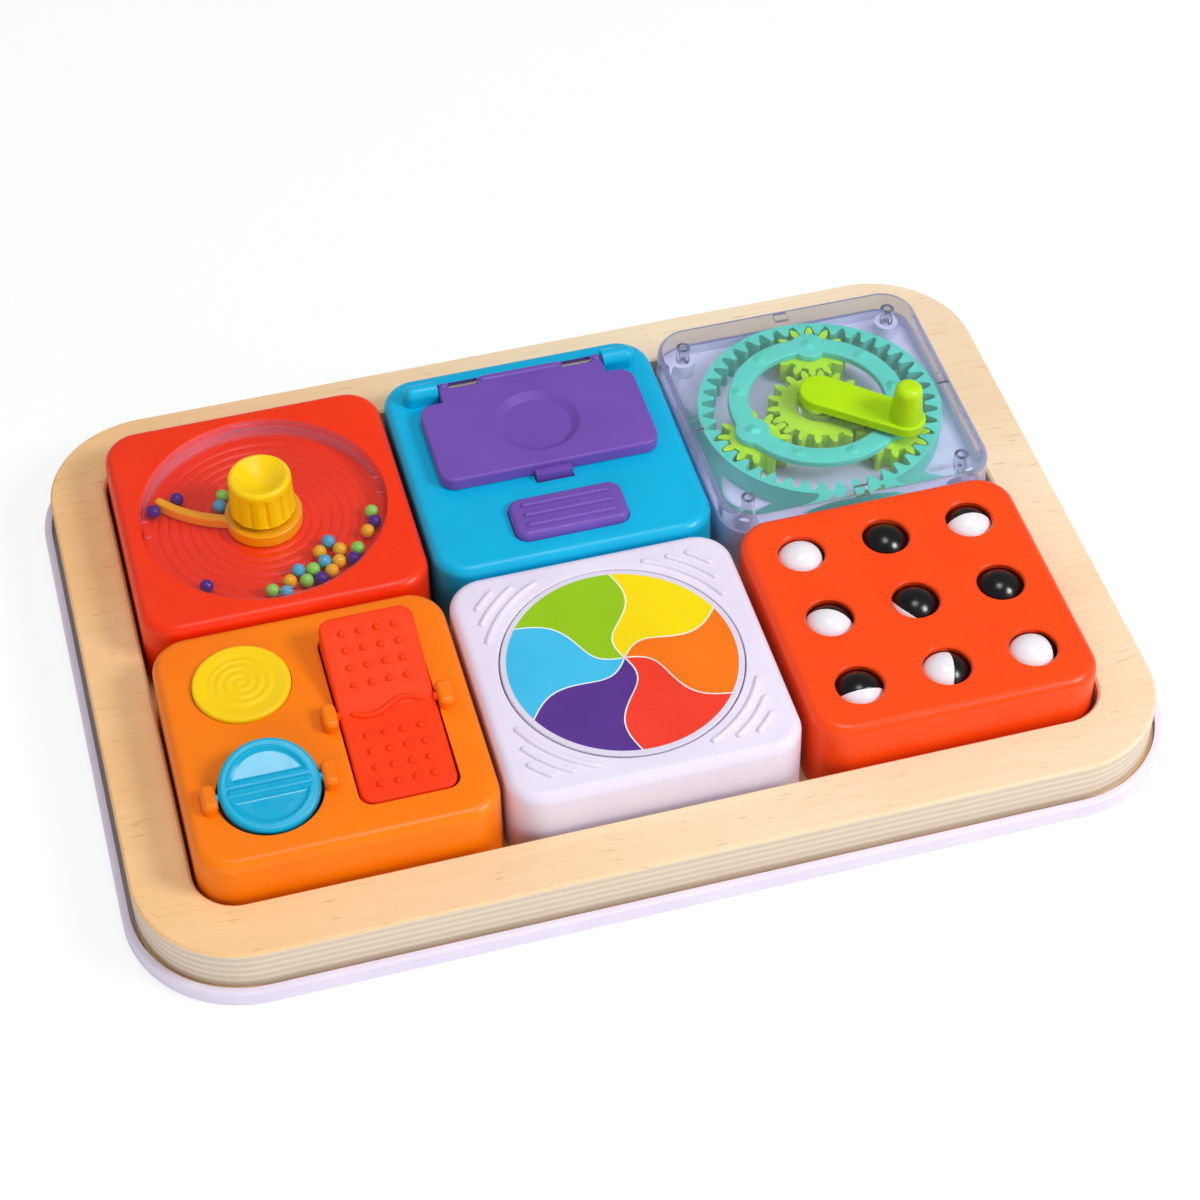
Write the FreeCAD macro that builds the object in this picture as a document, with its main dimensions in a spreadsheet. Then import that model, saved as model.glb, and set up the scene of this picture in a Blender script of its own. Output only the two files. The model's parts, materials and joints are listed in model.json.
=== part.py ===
import FreeCAD, Part
import math
import os
import re
import Sketcher

# Busy board: a tray with a wooden frame that holds six play tiles, in two rows of three.
# Millimetres. +Z is up, +X is the board's right and -Y its front. The origin lies in the
# middle of the tray's underside. Heights inside a tile count from the tile's underside.

SIZES = {
    # Tray, panel and wooden frame
    "tray_wall": 2.5,
    "tray_floor": 1.5,
    "tray_height": 5.7,
    "tray_gap": 1.6,
    "tray_edge": 0.9,
    "panel_thick": 2.5,
    "frame_thick": 16.2,
    "frame_corner": 36,
    "frame_edge": 0.8,
    "margin_side": 19.5,
    "margin_front": 20.1,
    "opening_corner": 14.5,
    "opening_fit_side": 1.15,
    "opening_fit_front": 1.2,
    # Places of the tiles
    "tile_gap_left": 0.5,
    "tile_gap_right": 2.2,
    "tile_gap_rows": 0.8,
    "tiles_shift_side": -0.25,
    "tiles_shift_back": 0.6,
    "tile_seat_gap": 0.3,
    # Housing that all tiles share
    "tile_width": 99,
    "tile_height": 31.1,
    "shell_spare": 1.4,
    "tile_corner": 13,
    "tile_draft": 1.3,
    "tile_edge": 3.7,
    "tile_wall": 2,
    "deck_thick": 2.2,
    "base_floor": 2,
    "lip_thick": 1.2,
    "move_gap": 0.3,
    "shaft_gap": 0.06,
    # Bead tile
    "window_radius": 42.4,
    "window_fit": 0.1,
    "window_thick": 1.5,
    "window_skirt": 1.3,
    "chamber_depth": 6.9,
    "chamber_floor": 1.8,
    "clip_width": 7.5,
    "clip_depth": 2.2,
    "clips": 4,
    "hub_radius": 13.2,
    "hub_edge": 0.4,
    "sweeper_lift": 0.7,
    "arm_width": 3.2,
    "arm_curve": 45,
    "arm_centre_side": 1,
    "arm_centre_back": 43.5,
    "arm_tip_side": -33.6,
    "arm_drop": 0.5,
    "arm_rounding": 1,
    "arm_root_depth": 2.64,
    "knob_radius": 11.4,
    "knob_top_radius": 10.3,
    "knob_height": 14.8,
    "knob_rounding": 1.4,
    "knob_dish_radius": 8.9,
    "knob_dish_depth": 2.6,
    "knob_dish_flat": 1.2,
    "knob_stem": 5,
    "knob_groove": 1.1,
    "knob_groove_depth": 0.7,
    "knob_groove_height": 9.4,
    "knob_grooves": 16,
    "screw_radius": 1.5,
    "screw_head_radius": 3.2,
    "screw_head_height": 1.1,
    "screw_length": 9,
    "bead_radius": 2.4,
    "bead_seat_gap": 0.2,
    # Flap tile
    "lid_length": 78,
    "lid_depth": 39,
    "lid_rear_gap": 4.1,
    "lid_shift": 0.4,
    "lid_corner": 5.5,
    "lid_thick": 4.6,
    "lid_lift": 0.1,
    "lid_edge": 1,
    "bar_length": 60,
    "bar_back": 1.9,
    "bar_slot_inner": 15.5,
    "bar_slot_outer": 26,
    "bar_slot_depth": 3.6,
    "hinge_inset": 13.5,
    "hinge_rise": 3.5,
    "pin_radius": 1.1,
    "knuckle_inset": 7,
    "knuckle_radius": 3.4,
    "knuckle_rounding": 3,
    "dimple_shift": 1.8,
    "dimple_radius": 14.9,
    "dimple_flat_radius": 12,
    "dimple_depth": 1.9,
    "mirror_length": 64,
    "mirror_depth": 30,
    "mirror_thick": 1.2,
    "latch_back": -31.1,
    "latch_length": 40,
    "latch_depth": 18.3,
    "latch_corner": 4.5,
    "latch_rise": 3,
    "latch_edge": 1.2,
    "latch_travel": 2.2,
    "latch_flange": 1.6,
    "latch_flange_thick": 1.5,
    "latch_rib_length": 31.4,
    "latch_rib_width": 1.4,
    "latch_rib_pitch": 4.7,
    "latch_rib_rise": 0.6,
    "tab_width": 13,
    "tab_thick": 2.4,
    "tab_reach": 3,
    "tab_drop": 4.4,
    "catch_length": 10,
    "catch_thick": 1.6,
    # Gear tile
    "ring_teeth": 42,
    "sun_teeth": 18,
    "planet_teeth": 12,
    "pressure_angle": 20,
    "gear_backlash": 0.4,
    "ring_wall_gap": 3.62,
    "ring_rim": 3.9,
    "ring_addendum": 0.957,
    "ring_dedendum": 1.275,
    "sun_addendum": 0.888,
    "sun_dedendum": 1.158,
    "planet_addendum": 0.911,
    "planet_dedendum": 1.162,
    "gear_plate_thick": 2,
    "gear_thick": 8.5,
    "carrier_band_outside": 3.6,
    "carrier_band_inside": 3.8,
    "carrier_thick": 2.4,
    "carrier_lobe_radius": 6.2,
    "carrier_pin_radius": 3,
    "first_planet_angle": 78,
    "post_inset": 8.02,
    "post_radius": 2.5,
    "post_bore": 1.3,
    "post_seat": 1.5,
    "boss_radius": 4.3,
    "boss_rise": 5.6,
    "snap_width": 5,
    "snap_depth": 3.4,
    "snap_thick": 1.2,
    "tube_radius": 8.4,
    "crank_stem": 6.4,
    "crank_angle": -40.3,
    "crank_reach": 32.1,
    "crank_hub_radius": 7.6,
    "crank_end_radius": 7,
    "crank_thick": 3.6,
    "crank_edge": 0.8,
    "handle_radius": 5.9,
    "handle_top_radius": 4.6,
    "handle_height": 14.8,
    "handle_rounding": 3,
    # Switch tile
    "button_side": -21.9,
    "button_back": 22.8,
    "button_radius": 16.1,
    "button_rise": 1.5,
    "button_edge": 1,
    "button_travel": 2,
    "button_flange": 1.5,
    "button_flange_thick": 1.4,
    "spring_radius": 5.5,
    "spring_wire": 0.9,
    "spring_seat_radius": 3.9,
    "flip_side": -21.3,
    "flip_inset": 27,
    "flip_radius": 16.1,
    "flip_hole_radius": 17.2,
    "flip_thick": 4.6,
    "flip_edge_thick": 6.6,
    "flip_tilt": 16,
    "flip_edge": 0.8,
    "pivot_rise": 1.9,
    "trunnion_radius": 1.4,
    "trunnion_length": 3.6,
    "pivot_cap_length": 5,
    "pivot_cap_width": 10,
    "pivot_cap_rise": 4.4,
    "pivot_cap_corner": 2.2,
    "pivot_cap_edge": 1.8,
    "rocker_side": 21.3,
    "rocker_width": 31.3,
    "rocker_length": 70,
    "rocker_hole_width": 32.7,
    "rocker_hole_length": 72.6,
    "rocker_corner": 4.5,
    "rocker_rest_tilt": 9.65,
    "rocker_half_tilt": 5.35,
    "rocker_top": 1.8,
    "rocker_skirt": 9.5,
    "rocker_wall": 2,
    "rocker_edge": 1,
    "well_wall": 1.6,
    "well_depth": 9,
    # Spinner tile
    "disc_radius": 39.9,
    "disc_hole_radius": 40.3,
    "disc_thick": 2.4,
    "disc_rise": 0.3,
    "print_radius": 37.9,
    "print_thick": 0.2,
    "disc_stem": 4,
    "disc_recess": 3.4,
    "corner_rib_first": 44.5,
    "corner_rib_pitch": 4.1,
    "corner_rib_width": 1.8,
    "corner_rib_rise": 0.7,
    "corner_rib_reach": 41.5,
    "corner_ribs": 3,
    # Ball tile
    "ball_radius": 9,
    "ball_pitch": 30,
    "ball_centre_depth": 7.3,
    "ball_hole_radius": 8,
    "ball_hole_chamfer": 0.6,
    "ball_rail_offset": 5.6,
    "ball_rail_thick": 1.6,
}

# Where the loose beads lie in the chamber, from its middle
BEAD_PLACES = {
    "green": ((-12.1, 12.8), (-3.9, -35.2), (11.2, -29.3), (8.1, -33.8), (27.7, -23.7), (35.9, -8.1)),
    "blue": ((-13.9, 8.2), (0.6, -37.1), (6.3, -28.5), (15.7, -26.8), (18.7, -18.1)),
    "yellow": ((2.6, -32.6), (17.2, -31.6), (14.9, -22), (21.7, -22.6), (20.4, -27.9), (32.7, -16.8)),
    "purple": ((-27.6, 15.4), (-36.4, 11.7), (-24.8, -27.4), (13, -34.1), (25.3, -28), (35.9, -13.1)),
}

# Lengths and heights that several pieces share
OPENING_LENGTH = "(3 * tile_width + tile_gap_left + tile_gap_right + 2 * opening_fit_side)"
OPENING_WIDTH = "(2 * tile_width + tile_gap_rows + 2 * opening_fit_front)"
FRAME_LENGTH = "(" + OPENING_LENGTH + " + 2 * margin_side)"
FRAME_WIDTH = "(" + OPENING_WIDTH + " + 2 * margin_front)"
TILE_SEAT = "(tray_floor + panel_thick + tile_seat_gap)"
SPLIT = "(tile_height - chamber_depth - chamber_floor - shell_spare)"
SPLIT_WIDTH = "(tile_width - 2 * " + SPLIT + " * tan(tile_draft))"
SPLIT_CORNER = "(tile_corner - " + SPLIT + " * tan(tile_draft))"
LIP_RISE = "(shell_spare - move_gap)"
INNER_WIDTH = "(" + SPLIT_WIDTH + " - 2 * tile_wall)"
INNER_CORNER = "(" + SPLIT_CORNER + " - tile_wall)"
UNDER_DECK = "(tile_height - deck_thick)"
CHAMBER_LEVEL = "(tile_height - chamber_depth)"
GEAR_PLATE = "(tile_height - deck_thick - carrier_thick - gear_thick - 3 * move_gap)"
GEAR_LEVEL = "(" + GEAR_PLATE + " + move_gap)"
BOSS_TOP = "(" + GEAR_PLATE + " + boss_rise)"
RING_RADIUS = "(" + INNER_WIDTH + " / 2 - ring_wall_gap)"
GEAR_MODULE = "(2 * (" + RING_RADIUS + " - ring_rim) / ring_teeth)"
PLANET_REACH = "(" + GEAR_MODULE + " * (sun_teeth + planet_teeth) / 2)"
BALL_LEVEL = "(tile_height - ball_centre_depth)"

# Tile places: the middle of each tile's underside
COLUMN_MIDDLE = "(tiles_shift_side - (tile_gap_right - tile_gap_left) / 2)"
COLUMNS = (
    "(" + COLUMN_MIDDLE + " - tile_width - tile_gap_left)",
    COLUMN_MIDDLE,
    "(" + COLUMN_MIDDLE + " + tile_width + tile_gap_right)",
)
ROWS = (
    "(tiles_shift_back + (tile_width + tile_gap_rows) / 2)",
    "(tiles_shift_back - (tile_width + tile_gap_rows) / 2)",
)
TILES = {
    "bead": (COLUMNS[0], ROWS[0]),
    "flap": (COLUMNS[1], ROWS[0]),
    "gear": (COLUMNS[2], ROWS[0]),
    "switch": (COLUMNS[0], ROWS[1]),
    "spinner": (COLUMNS[1], ROWS[1]),
    "ball": (COLUMNS[2], ROWS[1]),
}

NEAR = 1e-4
UP = FreeCAD.Vector(0, 0, 1)
ALONG_X = FreeCAD.Vector(1, 0, 0)

document = FreeCAD.newDocument("busy_board")
sheet = document.addObject("Spreadsheet::Sheet", "sizes")
nodes = []


# Sheet and expressions

def fill_sheet():
    for row, (name, number) in enumerate(SIZES.items(), start=1):
        sheet.set("A%d" % row, name)
        sheet.set("B%d" % row, str(number))
        sheet.setAlias("B%d" % row, name)
    document.recompute()


def link(text):
    """Point each size named in an expression at the sheet."""
    return re.sub(r"[a-z_]+", lambda word: ("sizes." if word[0] in SIZES else "") + word[0], str(text))


def value(text):
    """The number that an expression gives now."""
    return float(sheet.evalExpression(link(text)))


def bind(thing, links):
    for name, text in links.items():
        thing.setExpression(name, link(text))


# Bodies and sketches

def new_body(label, side="0", back="0", rise="0", turn=None, axis=UP):
    """A body at a place on the board, turned about one axis."""
    body = document.addObject("PartDesign::Body", label)
    body.Label = label
    if turn is not None:
        body.Placement = FreeCAD.Placement(FreeCAD.Vector(), FreeCAD.Rotation(axis, value(turn)))
        bind(body, {"Placement.Rotation.Angle": turn})
    bind(body, {"Placement.Base.x": side, "Placement.Base.y": back, "Placement.Base.z": rise})
    nodes.append(body)
    return body


def tile_body(tile, label, side="0", back="0", rise="0", turn=None, axis=UP):
    """A body at a place on a tile, from the middle of the tile's underside."""
    column, row = TILES[tile]
    places = (column + " + " + side, row + " + " + back, TILE_SEAT + " + " + rise)
    return new_body(label, *places, turn=turn, axis=axis)


def origin_feature(body, role):
    return next(feature for feature in body.Origin.OriginFeatures if feature.Role == role)


def new_sketch(body, plane="XY_Plane", side="0", back="0", rise="0"):
    """A sketch on an origin plane, moved by its own two directions and off the plane."""
    sketch = body.newObject("Sketcher::SketchObject", "outline")
    sketch.AttachmentSupport = [(origin_feature(body, plane), "")]
    sketch.MapMode = "FlatFace"
    offset = "AttachmentOffset.Base."
    bind(sketch, {offset + "x": side, offset + "y": back, offset + "z": rise})
    return sketch


def dimension(sketch, kind, places, text):
    """Add one dimension and bind it to an expression."""
    index = sketch.addConstraint(Sketcher.Constraint(kind, *places, value(text)))
    bind(sketch, {"Constraints[%d]" % index: text})


def point(side, back):
    return FreeCAD.Vector(side, back, 0)


def circle_arc(centre, radius, start, end):
    return Part.ArcOfCircle(Part.Circle(centre, UP, radius), math.radians(start), math.radians(end))


def draw_circle(sketch, radius, side="0", back="0"):
    index = sketch.addGeometry(Part.Circle(point(value(side), value(back)), UP, value(radius)), False)
    dimension(sketch, "Radius", (index,), radius)
    if (side, back) == ("0", "0"):
        sketch.addConstraint(Sketcher.Constraint("Coincident", index, 3, -1, 1))
    else:
        dimension(sketch, "DistanceX", (index, 3), side)
        dimension(sketch, "DistanceY", (index, 3), back)


def draw_rectangle(sketch, length, width, corner):
    """A rectangle with round corners, about the sketch's origin."""
    across = value(length) / 2
    along = value(width) / 2
    round_by = value(corner)
    inner_x = across - round_by
    inner_y = along - round_by
    lines = (
        ((-inner_x, -along), (inner_x, -along)),
        ((across, -inner_y), (across, inner_y)),
        ((inner_x, along), (-inner_x, along)),
        ((-across, inner_y), (-across, -inner_y)),
    )
    corners = (
        (inner_x, -inner_y, -90),
        (inner_x, inner_y, 0),
        (-inner_x, inner_y, 90),
        (-inner_x, -inner_y, 180),
    )
    first = sketch.GeometryCount
    for start, end in lines:
        sketch.addGeometry(Part.LineSegment(point(*start), point(*end)), False)
    for side, back, angle in corners:
        sketch.addGeometry(circle_arc(point(side, back), round_by, angle, angle + 90), False)
    for step in range(4):
        line = first + step
        arc = first + 4 + step
        following = first + (step + 1) % 4
        sketch.addConstraint(Sketcher.Constraint("Tangent", line, 2, arc, 1))
        sketch.addConstraint(Sketcher.Constraint("Tangent", arc, 2, following, 1))
        sketch.addConstraint(Sketcher.Constraint("Vertical" if step % 2 else "Horizontal", line))
    sketch.addConstraint(Sketcher.Constraint("Equal", first + 4, first + 5))
    sketch.addConstraint(Sketcher.Constraint("Equal", first + 4, first + 6))
    sketch.addConstraint(Sketcher.Constraint("Symmetric", first + 4, 3, first + 6, 3, -1, 1))
    dimension(sketch, "Radius", (first + 4,), corner)
    dimension(sketch, "DistanceX", (first + 3, 1, first + 1, 1), length)
    dimension(sketch, "DistanceY", (first, 1, first + 2, 1), width)


def draw_outline(sketch, corners):
    """A closed outline of straight lines through corners that are given as expressions."""
    first = sketch.GeometryCount
    spots = [point(value(side), value(back)) for side, back in corners]
    count = len(spots)
    for step in range(count):
        sketch.addGeometry(Part.LineSegment(spots[step], spots[(step + 1) % count]), False)
    for step in range(count):
        following = first + (step + 1) % count
        sketch.addConstraint(Sketcher.Constraint("Coincident", first + step, 2, following, 1))
    for step, (side, back) in enumerate(corners):
        dimension(sketch, "DistanceX", (first + step, 1), side)
        dimension(sketch, "DistanceY", (first + step, 1), back)


def draw_box(sketch, length, width, side="0", back="0"):
    left = "(" + side + ") - (" + length + ") / 2"
    right = "(" + side + ") + (" + length + ") / 2"
    front = "(" + back + ") - (" + width + ") / 2"
    rear = "(" + back + ") + (" + width + ") / 2"
    draw_outline(sketch, ((left, front), (right, front), (right, rear), (left, rear)))


def draw_tapered_arm(sketch, reach, first_radius, second_radius):
    """Two round ends of different radius along X, joined by tangent lines."""
    length = value(reach)
    start = value(first_radius)
    end = value(second_radius)
    lean = math.degrees(math.acos((start - end) / length))
    first = sketch.GeometryCount
    sketch.addGeometry(circle_arc(point(0, 0), start, lean, 360 - lean), False)
    sketch.addGeometry(circle_arc(point(length, 0), end, -lean, lean), False)
    cosine = math.cos(math.radians(lean))
    sine = math.sin(math.radians(lean))
    for way in (1, -1):
        near = point(start * cosine, way * start * sine)
        far = point(length + end * cosine, way * end * sine)
        sketch.addGeometry(Part.LineSegment(near, far), False)
    joins = (
        (first, 1, first + 2, 1),
        (first + 1, 2, first + 2, 2),
        (first, 2, first + 3, 1),
        (first + 1, 1, first + 3, 2),
    )
    for join in joins:
        sketch.addConstraint(Sketcher.Constraint("Tangent", *join))
    sketch.addConstraint(Sketcher.Constraint("Coincident", first, 3, -1, 1))
    sketch.addConstraint(Sketcher.Constraint("PointOnObject", first + 1, 3, -1))
    dimension(sketch, "DistanceX", (first + 1, 3), reach)
    dimension(sketch, "Radius", (first,), first_radius)
    dimension(sketch, "Radius", (first + 1,), second_radius)


# Features

def add_feature(body, kind, links, **settings):
    """Add a feature on the body's tip, and check that it added or took away material."""
    before = body.Shape.Volume if body.Tip else 0
    feature = body.newObject("PartDesign::" + kind, kind.lower())
    for name, setting in settings.items():
        setattr(feature, name, setting)
    bind(feature, links)
    document.recompute()
    change = body.Shape.Volume - before
    wrong_way = change > 0 if kind in ("Pocket", "Groove") else change < 0
    if abs(change) < NEAR or wrong_way and kind not in ("Fillet", "Chamfer"):
        raise ValueError("%s of %s changes the volume by %.4f" % (kind, body.Label, change))
    return feature


def pad(body, sketch, length, taper=None, down=False):
    links = {"Length": length}
    if taper is not None:
        links["TaperAngle"] = taper
    return add_feature(body, "Pad", links, Profile=sketch, Reversed=down)


def pocket(body, sketch, depth, up=False):
    return add_feature(body, "Pocket", {"Length": depth}, Profile=sketch, Reversed=up)


def turn(body, sketch, kind="Revolution"):
    return add_feature(body, kind, {}, Profile=sketch, ReferenceAxis=(sketch, ["V_Axis"]), Angle=360)


def dress(body, kind, size, chosen):
    """A fillet or chamfer on the edges of the tip that a test picks."""
    tip = body.Tip
    edges = ["Edge%d" % (index + 1) for index, edge in enumerate(tip.Shape.Edges) if chosen(edge)]
    name = "Radius" if kind == "Fillet" else "Size"
    return add_feature(body, kind, {name: size}, Base=(tip, edges))


def at_level(height):
    """Picks the edges that lie flat at a height."""
    level = value(height)
    return lambda edge: max(abs(edge.BoundBox.ZMin - level), abs(edge.BoundBox.ZMax - level)) < NEAR


def outer_edges(body, height):
    """Picks the outer edges of the flat face at a height."""
    level = value(height)
    edges = []
    for face in body.Tip.Shape.Faces:
        box = face.BoundBox
        if max(abs(box.ZMin - level), abs(box.ZMax - level)) < NEAR:
            edges += face.OuterWire.Edges
    return lambda edge: any(edge.isSame(other) for other in edges)


def far_out(edge):
    """How far an edge's middle lies from the body's Z axis."""
    return math.hypot(edge.CenterOfMass.x, edge.CenterOfMass.y)


def polar_pattern(body, feature, count):
    """Repeat a feature round the body's Z axis."""
    pattern = body.newObject("PartDesign::PolarPattern", "ring_of")
    pattern.Originals = [feature]
    pattern.Axis = (origin_feature(body, "Z_Axis"), [""])
    pattern.Angle = 360
    bind(pattern, {"Occurrences": count})
    body.Tip = pattern
    document.recompute()


def linear_pattern(body, feature, axis, length, count):
    """Repeat a feature along one of the body's axes."""
    pattern = body.newObject("PartDesign::LinearPattern", "row_of")
    pattern.Originals = [feature]
    pattern.Direction = (origin_feature(body, axis), [""])
    bind(pattern, {"Length": length, "Occurrences": count})
    body.Tip = pattern
    document.recompute()


def mirror_features(body, features, plane="YZ_Plane"):
    mirrored = body.newObject("PartDesign::Mirrored", "mirrored")
    mirrored.Originals = features
    mirrored.MirrorPlane = (origin_feature(body, plane), [""])
    body.Tip = mirrored
    document.recompute()


def turned(body, corners, kind="Revolution"):
    """A solid or groove turned about Z from corners given as radius and height."""
    sketch = new_sketch(body, "XZ_Plane")
    draw_outline(sketch, corners)
    return turn(body, sketch, kind)


# Tray, panel and frame

def slab(label, length, width, corner, level, thick):
    body = new_body(label, rise=level)
    sketch = new_sketch(body)
    draw_rectangle(sketch, length, width, corner)
    pad(body, sketch, thick)
    return body


def base_tray():
    inner = "2 * tray_gap"
    outer = "2 * (tray_gap + tray_wall)"
    corner = "frame_corner + tray_gap"
    body = slab("base_tray", FRAME_LENGTH + " + " + outer, FRAME_WIDTH + " + " + outer,
                corner + " + tray_wall", "0", "tray_height")
    well = new_sketch(body, rise="tray_height")
    draw_rectangle(well, FRAME_LENGTH + " + " + inner, FRAME_WIDTH + " + " + inner, corner)
    pocket(body, well, "tray_height - tray_floor")
    dress(body, "Fillet", "tray_edge", outer_edges(body, "tray_height"))


def floor_panel():
    corner = "frame_corner - 2 * tray_gap"
    slab("floor_panel", FRAME_LENGTH, FRAME_WIDTH, corner, "tray_floor", "panel_thick")


def board_frame():
    body = slab("board_frame", FRAME_LENGTH, FRAME_WIDTH, "frame_corner",
                "tray_floor + panel_thick", "frame_thick")
    opening = new_sketch(body, rise="frame_thick")
    draw_rectangle(opening, OPENING_LENGTH, OPENING_WIDTH, "opening_corner")
    pocket(body, opening, "frame_thick")
    dress(body, "Chamfer", "frame_edge", at_level("frame_thick"))


# Housing halves that all tiles share

def tile_block(tile, label, level, length, width, corner):
    """A block with the tile's outline and draft, standing on a level."""
    body = tile_body(tile, label)
    sketch = new_sketch(body, rise=level)
    draw_rectangle(sketch, width, width, corner)
    pad(body, sketch, length, taper="-tile_draft")
    return body


def tile_shell(tile, label, under="deck_thick"):
    """The upper half: a deck with soft edges and thin walls, open below."""
    body = tile_block(tile, label, SPLIT, "tile_height - " + SPLIT, SPLIT_WIDTH, SPLIT_CORNER)
    dress(body, "Fillet", "tile_edge", at_level("tile_height"))
    hollow = new_sketch(body, rise=SPLIT)
    draw_rectangle(hollow, INNER_WIDTH, INNER_WIDTH, INNER_CORNER)
    pocket(body, hollow, "tile_height - " + SPLIT + " - (" + under + ")", up=True)
    return body


def tile_base(tile, label):
    """The lower half: a tub with a lip that locates the shell."""
    body = tile_block(tile, label, "0", SPLIT, "tile_width", "tile_corner")
    lip = new_sketch(body, rise=SPLIT)
    draw_rectangle(lip, INNER_WIDTH, INNER_WIDTH, INNER_CORNER)
    pad(body, lip, LIP_RISE)
    inside = new_sketch(body, rise=SPLIT + " + " + LIP_RISE)
    room = INNER_WIDTH + " - 2 * lip_thick"
    draw_rectangle(inside, room, room, INNER_CORNER + " - lip_thick")
    pocket(body, inside, SPLIT + " + " + LIP_RISE + " - base_floor")
    return body


def cut_hole(body, radius, depth, side="0", back="0", level="tile_height"):
    sketch = new_sketch(body, side=side, back=back, rise=level)
    draw_circle(sketch, radius)
    return pocket(body, sketch, depth)


def add_post(body, radius, height, side="0", back="0", level="0", down=False):
    sketch = new_sketch(body, side=side, back=back, rise=level)
    draw_circle(sketch, radius)
    return pad(body, sketch, height, down=down)


def screw(label, tile, level, length):
    """A pan-head screw that points up from a level, its head below."""
    body = tile_body(tile, label, rise=level)
    head = new_sketch(body)
    draw_circle(head, "screw_head_radius")
    pad(body, head, "screw_head_height", down=True)
    shank = new_sketch(body)
    draw_circle(shank, "screw_radius")
    pad(body, shank, length)


# Bead tile

CHAMBER_UNDERSIDE = "(" + CHAMBER_LEVEL + " - chamber_floor)"
UNDER_WINDOW = "(tile_height - window_thick)"
KNOB_LEVEL = "(tile_height + move_gap)"
SWEEPER_HEIGHT = "(chamber_depth - window_thick - sweeper_lift - move_gap)"


def bead_tile_shell():
    body = tile_shell("bead", "bead_tile_shell", "chamber_depth + chamber_floor")
    cut_hole(body, "window_radius + window_fit", "chamber_depth")
    cut_hole(body, "screw_radius + shaft_gap", "chamber_floor", level=CHAMBER_LEVEL)


def bead_window():
    body = tile_body("bead", "bead_window")
    inner = "window_radius - window_skirt"
    turned(body, (
        ("knob_stem + move_gap", UNDER_WINDOW),
        (inner, UNDER_WINDOW),
        (inner, CHAMBER_LEVEL),
        ("window_radius", CHAMBER_LEVEL),
        ("window_radius", "tile_height"),
        ("knob_stem + move_gap", "tile_height"),
    ))
    clip = new_sketch(body, rise="tile_height")
    middle = "window_radius - window_skirt - clip_depth / 2 + window_fit"
    draw_box(clip, "clip_width", "clip_depth", back=middle)
    notch = pocket(body, clip, "window_thick / 2")
    polar_pattern(body, notch, "clips")


def sweeper():
    body = tile_body("bead", "sweeper", rise=CHAMBER_LEVEL + " + sweeper_lift")
    hub = new_sketch(body)
    draw_circle(hub, "hub_radius")
    draw_circle(hub, "knob_stem")
    pad(body, hub, SWEEPER_HEIGHT)
    dress(body, "Chamfer", "hub_edge", outer_edges(body, SWEEPER_HEIGHT))
    arm = new_sketch(body)
    draw_sweeper_arm(arm)
    pad(body, arm, SWEEPER_HEIGHT + " - arm_drop")
    arm_top = outer_edges(body, SWEEPER_HEIGHT + " - arm_drop")
    hub_radius = value("hub_radius + arm_width / 2")
    dress(body, "Fillet", "arm_rounding", lambda edge: arm_top(edge) and far_out(edge) > hub_radius)


def draw_sweeper_arm(sketch):
    """A band along a circle, from inside the hub to a round tip."""
    centre = point(value("arm_centre_side"), value("arm_centre_back"))
    outer = value("arm_curve + arm_width / 2")
    inner = value("arm_curve - arm_width / 2")
    root = value("arm_root_depth - hub_radius")
    tip = value("arm_tip_side")

    def angle_at(side, radius):
        return 360 - math.degrees(math.acos((side - centre.x) / radius))

    tip_angle = angle_at(tip, value("arm_curve"))
    starts = (angle_at(root, outer), angle_at(root, inner))
    way = FreeCAD.Vector(math.cos(math.radians(tip_angle)), math.sin(math.radians(tip_angle)), 0)
    cap_centre = centre + way * value("arm_curve")
    sketch.addGeometry(circle_arc(centre, outer, tip_angle, starts[0]), False)
    sketch.addGeometry(circle_arc(centre, inner, tip_angle, starts[1]), False)
    cap = circle_arc(cap_centre, value("arm_width / 2"), tip_angle + 180, tip_angle + 360)
    sketch.addGeometry(cap, False)
    ends = [sketch.Geometry[0].EndPoint, sketch.Geometry[1].EndPoint]
    sketch.addGeometry(Part.LineSegment(*ends), False)
    for constraint in (
        ("Coincident", 0, 2, 3, 1),
        ("Coincident", 1, 2, 3, 2),
        ("Coincident", 0, 3, 1, 3),
        ("Tangent", 0, 1, 2, 2),
        ("Tangent", 1, 1, 2, 1),
        ("Vertical", 3),
    ):
        sketch.addConstraint(Sketcher.Constraint(*constraint))
    dimension(sketch, "DistanceX", (0, 3), "arm_centre_side")
    dimension(sketch, "DistanceY", (0, 3), "arm_centre_back")
    dimension(sketch, "Radius", (0,), "arm_curve + arm_width / 2")
    dimension(sketch, "Radius", (1,), "arm_curve - arm_width / 2")
    dimension(sketch, "DistanceX", (2, 3), "arm_tip_side")
    dimension(sketch, "DistanceX", (3, 1), "arm_root_depth - hub_radius")


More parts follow.
